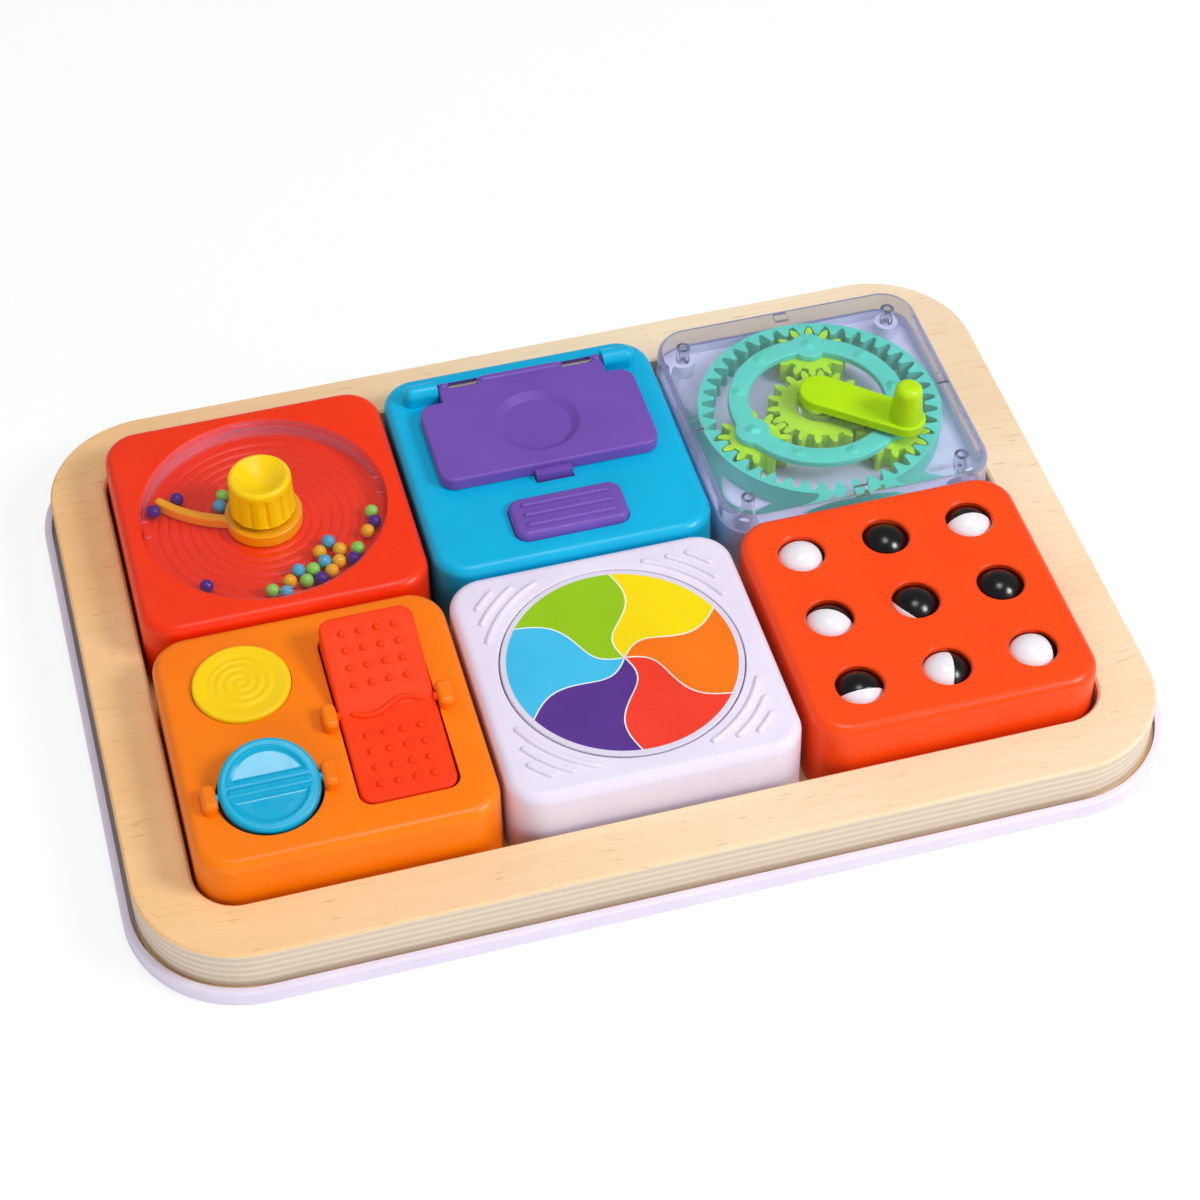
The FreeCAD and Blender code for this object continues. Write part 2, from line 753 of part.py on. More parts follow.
def sweeper_knob():
    """A grooved knob with a dished top, on a stem through the window into the hub."""
    body = tile_body("bead", "sweeper_knob", rise=KNOB_LEVEL)
    stem_end = "-(window_thick + 2 * move_gap + " + SWEEPER_HEIGHT + ")"
    turned(body, (
        ("0", stem_end),
        ("knob_stem", stem_end),
        ("knob_stem", "0"),
        ("knob_radius", "0"),
        ("knob_top_radius", "knob_height"),
        ("0", "knob_height"),
    ))
    dish = new_sketch(body, "XZ_Plane")
    draw_dish(dish, "knob_dish_radius", "knob_dish_flat", "knob_dish_depth", "knob_height")
    turn(body, dish, "Groove")
    dress(body, "Fillet", "knob_rounding", outer_edges(body, "knob_height"))
    bore = new_sketch(body, rise=stem_end)
    draw_circle(bore, "screw_radius")
    pocket(body, bore, "screw_length", up=True)
    groove = new_sketch(body)
    draw_box(groove, "knob_groove_depth * 4", "knob_groove", side="knob_radius + knob_groove_depth")
    cut = pocket(body, groove, "knob_groove_height", up=True)
    polar_pattern(body, cut, "knob_grooves")


def draw_dish(sketch, radius, flat, depth, level):
    """Half the section of a dish below a level: an arc about the axis, down to a small flat."""
    reach = value(radius)
    inner = value(flat)
    top = value(level)
    floor = top - value(depth)
    rise = (reach ** 2 - inner ** 2 - value(depth) ** 2) / (2 * value(depth))
    ball = math.hypot(reach, rise)
    angles = [math.degrees(math.asin(side / ball)) - 90 for side in (inner, reach)]
    sketch.addGeometry(circle_arc(point(0, top + rise), ball, *angles), False)
    spots = (point(reach, top), point(0, top), point(0, floor), point(inner, floor))
    for start, end in zip(spots, spots[1:]):
        sketch.addGeometry(Part.LineSegment(start, end), False)
    for constraint in (
        ("PointOnObject", 0, 3, -2),
        ("Coincident", 0, 2, 1, 1),
        ("Coincident", 1, 2, 2, 1),
        ("Coincident", 2, 2, 3, 1),
        ("Coincident", 3, 2, 0, 1),
        ("Horizontal", 1),
        ("Horizontal", 3),
        ("PointOnObject", 2, 1, -2),
        ("PointOnObject", 2, 2, -2),
    ):
        sketch.addConstraint(Sketcher.Constraint(*constraint))
    dimension(sketch, "DistanceX", (1, 1), radius)
    dimension(sketch, "DistanceX", (3, 2), flat)
    dimension(sketch, "DistanceY", (1, 1), level)
    dimension(sketch, "DistanceY", (2, 2), level + " - " + depth)


def bead_ball(radius, facets=10):
    """A small ball of flat facets."""
    levels = (-60, -22, 22, 60)
    rings = []
    for level in levels:
        ring_radius = radius * math.cos(math.radians(level))
        height = radius * math.sin(math.radians(level))
        spots = [
            FreeCAD.Vector(ring_radius * math.cos(math.tau * step / facets),
                           ring_radius * math.sin(math.tau * step / facets), height)
            for step in range(facets + 1)
        ]
        rings.append(Part.makePolygon(spots))
    return Part.makeLoft(rings, True, True)


def beads(colour):
    """Loose beads of one colour, as separate solids of one node."""
    group = document.addObject("Part::Feature", "beads_" + colour)
    group.Label = "beads_" + colour
    radius = value("bead_radius")
    column, row = TILES["bead"]
    height = value(TILE_SEAT + " + " + CHAMBER_LEVEL + " + bead_seat_gap") + radius
    balls = []
    for side, back in BEAD_PLACES[colour]:
        ball = bead_ball(radius)
        ball.translate(FreeCAD.Vector(side, back, 0))
        balls.append(ball)
    group.Shape = Part.makeCompound(balls)
    middle = FreeCAD.Vector(value(column), value(row), height)
    group.Placement = FreeCAD.Placement(middle, FreeCAD.Rotation())
    nodes.append(group)


def bead_tile():
    bead_tile_shell()
    tile_base("bead", "bead_tile_base")
    bead_window()
    sweeper()
    sweeper_knob()
    screw("knob_screw", "bead", CHAMBER_UNDERSIDE + " - move_gap", "screw_length")
    for colour in BEAD_PLACES:
        beads(colour)


# Flap tile

HINGE_LEVEL = "(tile_height + hinge_rise)"
HINGE_BACK = "(tile_width / 2 - hinge_inset)"
LID_UNDER = "(move_gap + lid_lift)"
LID_FRONT = "(" + HINGE_BACK + " - knuckle_radius - lid_rear_gap - lid_depth)"
LID_REAR = "(" + LID_FRONT + " + lid_depth)"
DIMPLE_BACK = "(" + LID_FRONT + " + lid_depth / 2 + dimple_shift)"
KNUCKLE_LENGTH = "(tile_width / 2 - knuckle_inset - lid_shift - bar_length / 2 - move_gap)"


def flap_tile_shell():
    body = tile_shell("flap", "flap_tile_shell")
    mirror = new_sketch(body, side="lid_shift", back=DIMPLE_BACK, rise="tile_height")
    draw_rectangle(mirror, "mirror_length", "mirror_depth", "lid_corner / 2")
    pocket(body, mirror, "mirror_thick")
    latch = new_sketch(body, side="lid_shift", back="latch_back", rise="tile_height")
    draw_rectangle(latch, "latch_length + 2 * move_gap", "latch_depth + 2 * move_gap",
                   "latch_corner + move_gap")
    pocket(body, latch, "deck_thick")
    slot = new_sketch(body, rise="tile_height")
    draw_box(slot, "tab_width + 2 * move_gap", "tab_thick + 6 * move_gap",
             side="lid_shift", back=LID_FRONT + " - tab_reach + tab_thick / 2")
    pocket(body, slot, "deck_thick")
    for way in (" + ", " - "):
        end = "lid_shift" + way + "(bar_length / 2 + move_gap)"
        knuckle = new_sketch(body, "YZ_Plane", HINGE_BACK, HINGE_LEVEL, end)
        draw_knuckle(knuckle)
        pad(body, knuckle, KNUCKLE_LENGTH, down=(way == " - "))
        outer_end = value(end + way + KNUCKLE_LENGTH)
        dress(body, "Fillet", "knuckle_rounding", on_end_face(outer_end, value("tile_height")))
    pin_end = "lid_shift - (bar_length + " + KNUCKLE_LENGTH + ") / 2"
    bore = new_sketch(body, "YZ_Plane", HINGE_BACK, HINGE_LEVEL, pin_end)
    draw_circle(bore, "pin_radius")
    pocket(body, bore, "bar_length + " + KNUCKLE_LENGTH, up=True)


def on_end_face(side, level):
    """Picks the edges of an upright end face, above a level."""
    def chosen(edge):
        box = edge.BoundBox
        return max(abs(box.XMin - side), abs(box.XMax - side)) < NEAR and box.ZMax > level + NEAR
    return chosen


def draw_knuckle(sketch):
    """A round-topped lug that reaches down to the deck."""
    radius = value("knuckle_radius")
    drop = -value("hinge_rise + deck_thick / 2")
    sketch.addGeometry(circle_arc(point(0, 0), radius, 0, 180), False)
    spots = (point(-radius, 0), point(-radius, drop), point(radius, drop), point(radius, 0))
    for start, end in zip(spots, spots[1:]):
        sketch.addGeometry(Part.LineSegment(start, end), False)
    for constraint in (
        ("Coincident", 0, 3, -1, 1),
        ("Tangent", 0, 2, 1, 1),
        ("Coincident", 1, 2, 2, 1),
        ("Coincident", 2, 2, 3, 1),
        ("Tangent", 3, 2, 0, 1),
        ("Vertical", 1),
        ("Vertical", 3),
        ("Horizontal", 2),
    ):
        sketch.addConstraint(Sketcher.Constraint(*constraint))
    dimension(sketch, "Radius", (0,), "knuckle_radius")
    dimension(sketch, "DistanceY", (2, 1), "-(hinge_rise + deck_thick / 2)")


def flap_mirror():
    body = tile_body("flap", "flap_mirror", "lid_shift", DIMPLE_BACK, "tile_height - mirror_thick")
    sketch = new_sketch(body)
    draw_rectangle(sketch, "mirror_length - 2 * window_fit", "mirror_depth - 2 * window_fit",
                   "lid_corner / 2")
    pad(body, sketch, "mirror_thick")


def flap_hinge_pin():
    reach = "(bar_length + " + KNUCKLE_LENGTH + ")"
    body = tile_body("flap", "flap_hinge_pin", "lid_shift", HINGE_BACK, HINGE_LEVEL)
    sketch = new_sketch(body, "YZ_Plane", rise="-" + reach + " / 2")
    draw_circle(sketch, "pin_radius")
    pad(body, sketch, reach)


def flap_lid():
    """The lid with its hinge bar, thumb dimple and latch tab; its origin is on the hinge axis."""
    body = tile_body("flap", "flap_lid", "lid_shift", HINGE_BACK, HINGE_LEVEL)
    under = "(" + LID_UNDER + " - hinge_rise)"
    middle = LID_FRONT + " + lid_depth / 2 - " + HINGE_BACK
    top = "(" + under + " + lid_thick)"
    plate = new_sketch(body, back=middle, rise=under)
    draw_rectangle(plate, "lid_length", "lid_depth", "lid_corner")
    pad(body, plate, "lid_thick")
    bar = new_sketch(body, rise=under)
    back_edge = "(" + LID_REAR + " - " + HINGE_BACK + ")"
    draw_box(bar, "bar_length", "bar_back - " + back_edge + " + lid_corner",
             back="(bar_back + " + back_edge + " - lid_corner) / 2")
    pad(body, bar, "lid_thick")
    dress(body, "Fillet", "lid_edge", outer_edges(body, top))
    lower = value(under)
    rear = value("bar_back")
    dress(body, "Chamfer", "lid_edge * 1.3", lambda edge: abs(edge.BoundBox.ZMax - lower) < NEAR
          and abs(edge.BoundBox.YMin - rear) < NEAR)
    bore = new_sketch(body, "YZ_Plane", rise="-bar_length / 2")
    draw_circle(bore, "pin_radius + shaft_gap")
    pocket(body, bore, "bar_length", up=True)
    window = new_sketch(body, rise=top)
    draw_box(window, "bar_slot_outer - bar_slot_inner", "bar_slot_depth",
             side="(bar_slot_outer + bar_slot_inner) / 2")
    slot = pocket(body, window, "lid_thick")
    mirror_features(body, [slot])
    cut_dimple(body, top)
    tab = new_sketch(body, rise="-hinge_rise - tab_drop")
    draw_box(tab, "tab_width", "tab_thick",
             back=LID_FRONT + " - tab_reach + tab_thick / 2 - " + HINGE_BACK)
    pad(body, tab, "tab_drop + " + LID_UNDER + " + lid_thick / 2")
    bridge = new_sketch(body, rise=under)
    draw_box(bridge, "tab_width", "tab_reach + lid_corner / 2",
             back=LID_FRONT + " + (lid_corner / 2 - tab_reach) / 2 - " + HINGE_BACK)
    pad(body, bridge, "lid_thick / 2")


def cut_dimple(body, top):
    """A round hollow for the thumb, with a sloping edge and a flat, bare floor."""
    sketch = new_sketch(body, "XZ_Plane", rise=HINGE_BACK + " - " + DIMPLE_BACK)
    draw_outline(sketch, (
        ("0", top),
        ("dimple_radius", top),
        ("dimple_flat_radius", top + " - dimple_depth"),
        ("0", top + " - dimple_depth"),
    ))
    turn(body, sketch, "Groove")


def latch_button():
    """A ribbed push button with a flange below the deck and a catch for the lid's tab."""
    body = tile_body("flap", "latch_button", "lid_shift", "latch_back", "tile_height")
    flange_top = "-(deck_thick + move_gap)"
    cap = new_sketch(body, rise=flange_top)
    draw_rectangle(cap, "latch_length", "latch_depth", "latch_corner")
    pad(body, cap, "latch_rise + deck_thick + move_gap")
    dress(body, "Fillet", "latch_edge", at_level("latch_rise"))
    flange = new_sketch(body, rise=flange_top)
    draw_rectangle(flange, "latch_length + 2 * latch_flange", "latch_depth + 2 * latch_flange",
                   "latch_corner + latch_flange")
    pad(body, flange, "latch_flange_thick", down=True)
    rib = new_sketch(body, rise="latch_rise")
    draw_box(rib, "latch_rib_length", "latch_rib_width", back="-latch_rib_pitch")
    ridge = pad(body, rib, "latch_rib_rise")
    linear_pattern(body, ridge, "Y_Axis", "2 * latch_rib_pitch", "3")
    catch_end = "(" + LID_FRONT + " - tab_reach - latch_back - 2 * move_gap)"
    catch = new_sketch(body, rise=flange_top)
    start = "(latch_depth / 2)"
    middle = "(" + catch_end + " + " + start + ") / 2"
    draw_box(catch, "catch_length", catch_end + " - " + start, back=middle)
    pad(body, catch, "catch_thick", down=True)
    stub_level = flange_top + " - latch_flange_thick"
    add_post(body, "spring_seat_radius", "latch_flange_thick", level=stub_level, down=True)


def add_stop_post(base, side, back, flange_thick, travel):
    """A post inside a button's spring, which stops the button at the end of its travel."""
    top = UNDER_DECK + " - 2 * move_gap - 2 * " + flange_thick + " - " + travel
    add_post(base, "spring_seat_radius", top + " - base_floor", side, back, "base_floor")


def spring(label, tile, side, back, level, top):
    """A spring's sleeve between its seat and the button above it."""
    body = tile_body(tile, label, side, back, level)
    sketch = new_sketch(body)
    draw_circle(sketch, "spring_radius")
    draw_circle(sketch, "spring_radius - spring_wire")
    pad(body, sketch, top + " - " + level)


def flap_tile():
    flap_tile_shell()
    base = tile_base("flap", "flap_tile_base")
    add_stop_post(base, "lid_shift", "latch_back", "latch_flange_thick", "latch_travel")
    flap_mirror()
    flap_hinge_pin()
    flap_lid()
    latch_button()
    spring("latch_spring", "flap", "lid_shift", "latch_back", "base_floor",
           "(tile_height - deck_thick - move_gap - latch_flange_thick)")


# Gear tile

GEAR_TOP = "(" + GEAR_LEVEL + " + gear_thick)"
POST_END = "(" + BOSS_TOP + " - post_seat)"
POST_PLACE = "(" + INNER_WIDTH + " / 2 - post_inset)"


def gear_tile_cover():
    """A clear cover with four hollow posts and a bearing tube for the crank."""
    body = tile_shell("gear", "gear_tile_cover")
    posts = new_sketch(body, rise=UNDER_DECK)
    bores = new_sketch(body, rise=POST_END)
    for side in (POST_PLACE, "-" + POST_PLACE):
        for back in (POST_PLACE, "-" + POST_PLACE):
            draw_circle(posts, "post_radius", side, back)
            draw_circle(bores, "post_bore", side, back)
    pad(body, posts, UNDER_DECK + " - " + POST_END, down=True)
    pocket(body, bores, UNDER_DECK + " - " + POST_END, up=True)
    tube = new_sketch(body, rise=UNDER_DECK)
    draw_circle(tube, "tube_radius")
    pad(body, tube, UNDER_DECK + " - " + GEAR_TOP + " - move_gap", down=True)
    cut_hole(body, "crank_stem + shaft_gap", "tile_height - " + GEAR_TOP)
    snap = new_sketch(body, rise=UNDER_DECK)
    draw_box(snap, "snap_width", "snap_depth", back=INNER_WIDTH + " / 2 - snap_depth / 2")
    tab = pad(body, snap, "snap_thick", down=True)
    polar_pattern(body, tab, "4")


def gear_tile_base():
    """A base whose raised floor carries the gears, with a boss under each post of the cover."""
    body = tile_block("gear", "gear_tile_base", "0", SPLIT, "tile_width", "tile_corner")
    room = INNER_WIDTH + " - 2 * lip_thick"
    corner = INNER_CORNER + " - lip_thick"
    inside = new_sketch(body, rise=SPLIT)
    draw_rectangle(inside, INNER_WIDTH, INNER_WIDTH, INNER_CORNER)
    pocket(body, inside, SPLIT + " - " + GEAR_PLATE)
    below = new_sketch(body)
    draw_rectangle(below, room, room, corner)
    pocket(body, below, GEAR_PLATE + " - gear_plate_thick", up=True)
    bosses = new_sketch(body, rise=GEAR_PLATE)
    sockets = new_sketch(body, rise=BOSS_TOP)
    for side in (POST_PLACE, "-" + POST_PLACE):
        for back in (POST_PLACE, "-" + POST_PLACE):
            draw_circle(bosses, "boss_radius", side, back)
            draw_circle(sockets, "post_radius", side, back)
    pad(body, bosses, "boss_rise")
    pocket(body, sockets, "post_seat")
    cut_hole(body, "screw_head_radius + move_gap", "gear_plate_thick", level=GEAR_PLATE)


def gear_radius(gear, part=""):
    """A gear's pitch radius, or how far its teeth reach above it (addendum) or below (dedendum)."""
    pitch = GEAR_MODULE + " * " + gear + "_teeth / 2"
    if not part:
        return "(" + pitch + ")"
    outwards = (part == "addendum") != (gear == "ring")
    return "(" + pitch + (" + " if outwards else " - ") + GEAR_MODULE + " * " + gear + "_" + part + ")"


def flank_half_angle(teeth, radius, spread):
    """Half a tooth's angle at a radius, in radians, when it is wider by spread at the pitch circle."""
    pressure = math.radians(value("pressure_angle"))
    pitch_radius = value(GEAR_MODULE) * teeth / 2
    roll = math.acos(min(1, pitch_radius * math.cos(pressure) / radius))
    involute = math.tan(pressure) - pressure - (math.tan(roll) - roll)
    return math.pi / (2 * teeth) + spread / (2 * pitch_radius) + involute


def draw_tooth_gap(sketch, teeth, deep, mouth, wider, inside=False):
    """The space between two teeth, round angle 0, from its floor to just past the tooth tips."""
    radii = [deep + (mouth - deep) * step / 2 for step in range(3)]
    backlash = value("gear_backlash")
    side_points = []
    for radius in radii:
        if inside:
            half = flank_half_angle(teeth, radius, backlash)
        else:
            half = math.pi / teeth - flank_half_angle(teeth, radius, -backlash)
        side_points.append((radius * math.cos(half), radius * math.sin(half)))
    last = side_points[-1]
    side_points.append((last[0] + wider, last[1]))
    spots = [point(*spot) for spot in side_points] + [point(x, -y) for x, y in reversed(side_points)]
    first = sketch.GeometryCount
    for step, spot in enumerate(spots):
        following = (step + 1) % len(spots)
        sketch.addGeometry(Part.LineSegment(spot, spots[following]), False)
    for step in range(len(spots)):
        following = first + (step + 1) % len(spots)
        sketch.addConstraint(Sketcher.Constraint("Coincident", first + step, 2, following, 1))
        sketch.addConstraint(Sketcher.Constraint("Block", first + step))


def cut_teeth(body, gear, height):
    """Cuts the spaces between a gear's teeth, from their floors to just past the tips."""
    inside = gear == "ring"
    deep = value(gear_radius(gear, "dedendum"))
    mouth = value(gear_radius(gear, "addendum"))
    gap = new_sketch(body, rise=height)
    draw_tooth_gap(gap, value(gear + "_teeth"), deep, mouth, -1 if inside else 1, inside)
    cut = pocket(body, gap, height)
    polar_pattern(body, cut, gear + "_teeth")


def ring_gear():
    """The fixed inner-toothed ring; a tooth gap points along X."""
    body = tile_body("gear", "ring_gear", rise=GEAR_PLATE)
    sketch = new_sketch(body)
    draw_circle(sketch, RING_RADIUS)
    draw_circle(sketch, gear_radius("ring", "addendum"))
    pad(body, sketch, "gear_thick + move_gap")
    cut_teeth(body, "ring", "gear_thick + move_gap")


def planet_turn(carrier_angle):
    """The angle of a planet's tooth, in mesh with the ring, when its centre is at an angle."""
    return "(" + carrier_angle + ") * (1 - ring_teeth / planet_teeth)"


def planet_gear(index):
    angle = "first_planet_angle + %d * 120" % index
    body = tile_body("gear", "planet_gear_%d" % (index + 1), PLANET_REACH + " * cos(" + angle + ")",
                     PLANET_REACH + " * sin(" + angle + ")", GEAR_LEVEL,
                     turn=planet_turn(angle) + " + 180 / planet_teeth")
    sketch = new_sketch(body)
    draw_circle(sketch, gear_radius("planet", "addendum"))
    draw_circle(sketch, "carrier_pin_radius + shaft_gap")
    pad(body, sketch, "gear_thick")
    cut_teeth(body, "planet", "gear_thick")


def sun_gear():
    """The driving gear, with a tooth gap turned to the first planet's tooth."""
    angle = "first_planet_angle"
    toward = "mod(" + planet_turn(angle) + " - " + angle + " - 180; 360 / planet_teeth)"
    body = tile_body("gear", "sun_gear", rise=GEAR_LEVEL,
                     turn=angle + " - " + toward + " * planet_teeth / sun_teeth")
    sketch = new_sketch(body)
    draw_circle(sketch, gear_radius("sun", "addendum"))
    draw_circle(sketch, "crank_stem")
    pad(body, sketch, "gear_thick")
    cut_teeth(body, "sun", "gear_thick")


def planet_carrier():
    """A flat ring with a round lobe and a pin for each planet."""
    body = tile_body("gear", "planet_carrier", rise=GEAR_TOP + " + move_gap", turn="first_planet_angle")
    sketch = new_sketch(body)
    draw_circle(sketch, PLANET_REACH + " + carrier_band_outside")
    draw_circle(sketch, PLANET_REACH + " - carrier_band_inside")
    pad(body, sketch, "carrier_thick")
    lobe = add_post(body, "carrier_lobe_radius", "carrier_thick", side=PLANET_REACH)
    polar_pattern(body, lobe, "3")
    pin = add_post(body, "carrier_pin_radius", "gear_thick + move_gap", side=PLANET_REACH, down=True)
    polar_pattern(body, pin, "3")


def crank_handle():
    """A flat arm with an upright grip, on a stem through the cover into the sun gear."""
    body = tile_body("gear", "crank_handle", rise="tile_height + move_gap", turn="crank_angle")
    arm = new_sketch(body)
    draw_tapered_arm(arm, "crank_reach", "crank_hub_radius", "crank_end_radius")
    pad(body, arm, "crank_thick")
    dress(body, "Fillet", "crank_edge", at_level("crank_thick"))
    add_post(body, "crank_stem", "tile_height + move_gap - " + GEAR_LEVEL, down=True)
    grip = new_sketch(body, side="crank_reach", rise="crank_thick")
    draw_circle(grip, "handle_radius")
    lean = "-atan((handle_radius - handle_top_radius) / handle_height)"
    pad(body, grip, "handle_height", taper=lean)
    dress(body, "Fillet", "handle_rounding", at_level("crank_thick + handle_height"))
    bore = new_sketch(body, rise=GEAR_LEVEL + " - tile_height - move_gap")
    draw_circle(bore, "screw_radius")
    pocket(body, bore, "screw_length", up=True)


def gear_tile():
    gear_tile_cover()
    gear_tile_base()
    ring_gear()
    sun_gear()
    for index in range(3):
        planet_gear(index)
    planet_carrier()
    crank_handle()
    screw("crank_screw", "gear", GEAR_LEVEL, "screw_length")


# Switch tile

PIVOT_LEVEL = "(tile_height + pivot_rise)"
FLIP_BACK = "(flip_inset - tile_width / 2)"
FLIP_CAP_PLACE = "(flip_radius + 2 * move_gap)"
ROCKER_CAP_PLACE = "(rocker_hole_width / 2)"


def add_well(body, side, back, length, width=None, corner=None):
    """A wall that hangs below the deck round a hole, and the hole itself: round without a width."""
    outside = new_sketch(body, side=side, back=back, rise=UNDER_DECK)
    if width is None:
        draw_circle(outside, length + " + well_wall")
    else:
        draw_rectangle(outside, length + " + 2 * well_wall", width + " + 2 * well_wall",
                       corner + " + well_wall")
    pad(body, outside, "well_depth", down=True)
    inside = new_sketch(body, side=side, back=back, rise="tile_height")
    if width is None:
        draw_circle(inside, length)
    else:
        draw_rectangle(inside, length, width, corner)
    pocket(body, inside, "deck_thick + well_depth")


def add_pivot_caps(body, pivots):
    """Two soft-edged lugs on the deck for each pair of trunnions, each lug with its bore."""
    bores = []
    for side, back, place in pivots:
        for way in ("", "-"):
            edge = side + " + " + way + place
            lug = new_sketch(body, side=edge + " + " + way + "pivot_cap_length / 2", back=back,
                             rise="tile_height")
            draw_rectangle(lug, "pivot_cap_length", "pivot_cap_width", "pivot_cap_corner")
            pad(body, lug, "pivot_cap_rise")
            bores.append((back, edge, way == ""))
    dress(body, "Fillet", "pivot_cap_edge", at_level("tile_height + pivot_cap_rise"))
    for back, edge, up in bores:
        bore = new_sketch(body, "YZ_Plane", back, PIVOT_LEVEL, edge)
        draw_circle(bore, "trunnion_radius + shaft_gap")
        pocket(body, bore, "trunnion_length + move_gap", up=up)


def switch_tile_shell():
    body = tile_shell("switch", "switch_tile_shell")
    add_well(body, "flip_side", FLIP_BACK, "flip_hole_radius")
    add_well(body, "rocker_side", "0", "rocker_hole_width", "rocker_hole_length",
             "rocker_corner + move_gap")
    cut_hole(body, "button_radius + move_gap", "deck_thick", "button_side", "button_back")
    add_pivot_caps(body, (("flip_side", FLIP_BACK, FLIP_CAP_PLACE),
                          ("rocker_side", "0", ROCKER_CAP_PLACE)))


def push_button():
    body = tile_body("switch", "push_button", "button_side", "button_back", "tile_height")
    low = "-(deck_thick + move_gap)"
    cap = new_sketch(body, rise=low)
    draw_circle(cap, "button_radius")
    pad(body, cap, "button_rise + deck_thick + move_gap")
    dress(body, "Fillet", "button_edge", at_level("button_rise"))
    add_post(body, "button_radius + button_flange", "button_flange_thick", level=low, down=True)
    stub_level = low + " - button_flange_thick"
    add_post(body, "spring_seat_radius", "button_flange_thick", level=stub_level, down=True)


def flip_disc():
    """A round rocker disc, thinner in the middle, that turns over on two trunnions."""
    body = tile_body("switch", "flip_disc", "flip_side", FLIP_BACK, PIVOT_LEVEL,
                     turn="flip_tilt", axis=ALONG_X)
    disc = new_sketch(body, rise="-flip_edge_thick / 2")
    draw_circle(disc, "flip_radius")
    pad(body, disc, "flip_edge_thick")
    dress(body, "Fillet", "flip_edge", at_level("flip_edge_thick / 2"))
    dress(body, "Fillet", "flip_edge", at_level("-flip_edge_thick / 2"))
    rim = "(flip_radius + 1)"
    for way in ("", "-"):
        valley = new_sketch(body, "YZ_Plane", rise="-" + rim)
        draw_outline(valley, (
            ("-" + rim, way + "flip_edge_thick / 2"),
            ("0", way + "flip_thick / 2"),
            (rim, way + "flip_edge_thick / 2"),
        ))
        pocket(body, valley, "2 * " + rim, up=True)
    reach = "(" + FLIP_CAP_PLACE + " + trunnion_length)"
    trunnions = new_sketch(body, "YZ_Plane", rise="-" + reach)
    draw_circle(trunnions, "trunnion_radius")
    pad(body, trunnions, "2 * " + reach)


def rocker():
    """A rocker cap, low in the middle, with skirts and trunnions; its origin is on the pivot axis."""
    body = tile_body("switch", "rocker", "rocker_side", "0", PIVOT_LEVEL,
                     turn="rocker_rest_tilt", axis=ALONG_X)
    crown = "(rocker_top - pivot_rise)"
    end = "(rocker_length / 2)"
    block = new_sketch(body, rise="-rocker_skirt")
    draw_rectangle(block, "rocker_width", "rocker_length", "rocker_corner")
    pad(body, block, "rocker_skirt + " + crown + " + " + end + " * tan(rocker_half_tilt)")
    valley = new_sketch(body, "YZ_Plane", rise="-rocker_width / 2 - 1")
    top = crown + " + (" + end + " + 1) * tan(rocker_half_tilt)"
    draw_outline(valley, (
        ("-" + end + " - 1", top),
        ("0", crown),
        (end + " + 1", top),
        (end + " + 1", top + " + 1"),
        ("-" + end + " - 1", top + " + 1"),
    ))
    pocket(body, valley, "rocker_width + 2", up=True)
    lowest = value(crown) - NEAR
    across = value("rocker_width") - NEAR
    dress(body, "Fillet", "rocker_edge",
          lambda edge: edge.BoundBox.ZMin > lowest and edge.BoundBox.XLength < across)
    room = new_sketch(body, rise="-rocker_skirt")
    draw_rectangle(room, "rocker_width - 2 * rocker_wall", "rocker_length - 2 * rocker_wall",
                   "rocker_corner - rocker_wall / 2")
    pocket(body, room, "rocker_skirt - trunnion_radius", up=True)
    wall = "(rocker_width / 2 - rocker_wall / 4)"
    trunnion = new_sketch(body, "YZ_Plane", rise=wall)
    draw_circle(trunnion, "trunnion_radius")
    stub = pad(body, trunnion, ROCKER_CAP_PLACE + " + trunnion_length - " + wall)
    mirror_features(body, [stub])


def switch_tile():
    switch_tile_shell()
    base = tile_base("switch", "switch_tile_base")
    add_stop_post(base, "button_side", "button_back", "button_flange_thick", "button_travel")
    push_button()
    spring("push_button_spring", "switch", "button_side", "button_back", "base_floor",
           "(tile_height - deck_thick - move_gap - button_flange_thick)")
    flip_disc()
    rocker()


# Spinner tile

def spinner_tile_shell():
    body = tile_shell("spinner", "spinner_tile_shell", "disc_recess + deck_thick")
    cut_hole(body, "disc_hole_radius", "disc_recess")
    cut_hole(body, "disc_stem + shaft_gap", "deck_thick", level="tile_height - disc_recess")
    for index in range(int(value("corner_ribs"))):
        add_corner_ribs(body, "corner_rib_first + %d * corner_rib_pitch" % index)


def add_corner_ribs(body, radius):
    """One curved rib on the deck, and its copies at the other corners."""
    inner = value(radius + " - corner_rib_width / 2")
    outer = value(radius + " + corner_rib_width / 2")
    half = 45 - math.degrees(math.acos(min(1, value("corner_rib_reach") / outer)))
    sketch = new_sketch(body, rise="tile_height")
    sketch.addGeometry(circle_arc(point(0, 0), outer, 45 - half, 45 + half), False)
    sketch.addGeometry(circle_arc(point(0, 0), inner, 45 - half, 45 + half), False)
    for way in (1, -1):
        side = math.radians(45 + way * half)
        ends = [point(reach * math.cos(side), reach * math.sin(side)) for reach in (outer, inner)]
        sketch.addGeometry(Part.LineSegment(*ends), False)
    for index in range(4):
        sketch.addConstraint(Sketcher.Constraint("Block", index))
    rib = pad(body, sketch, "corner_rib_rise")
    polar_pattern(body, rib, "4")


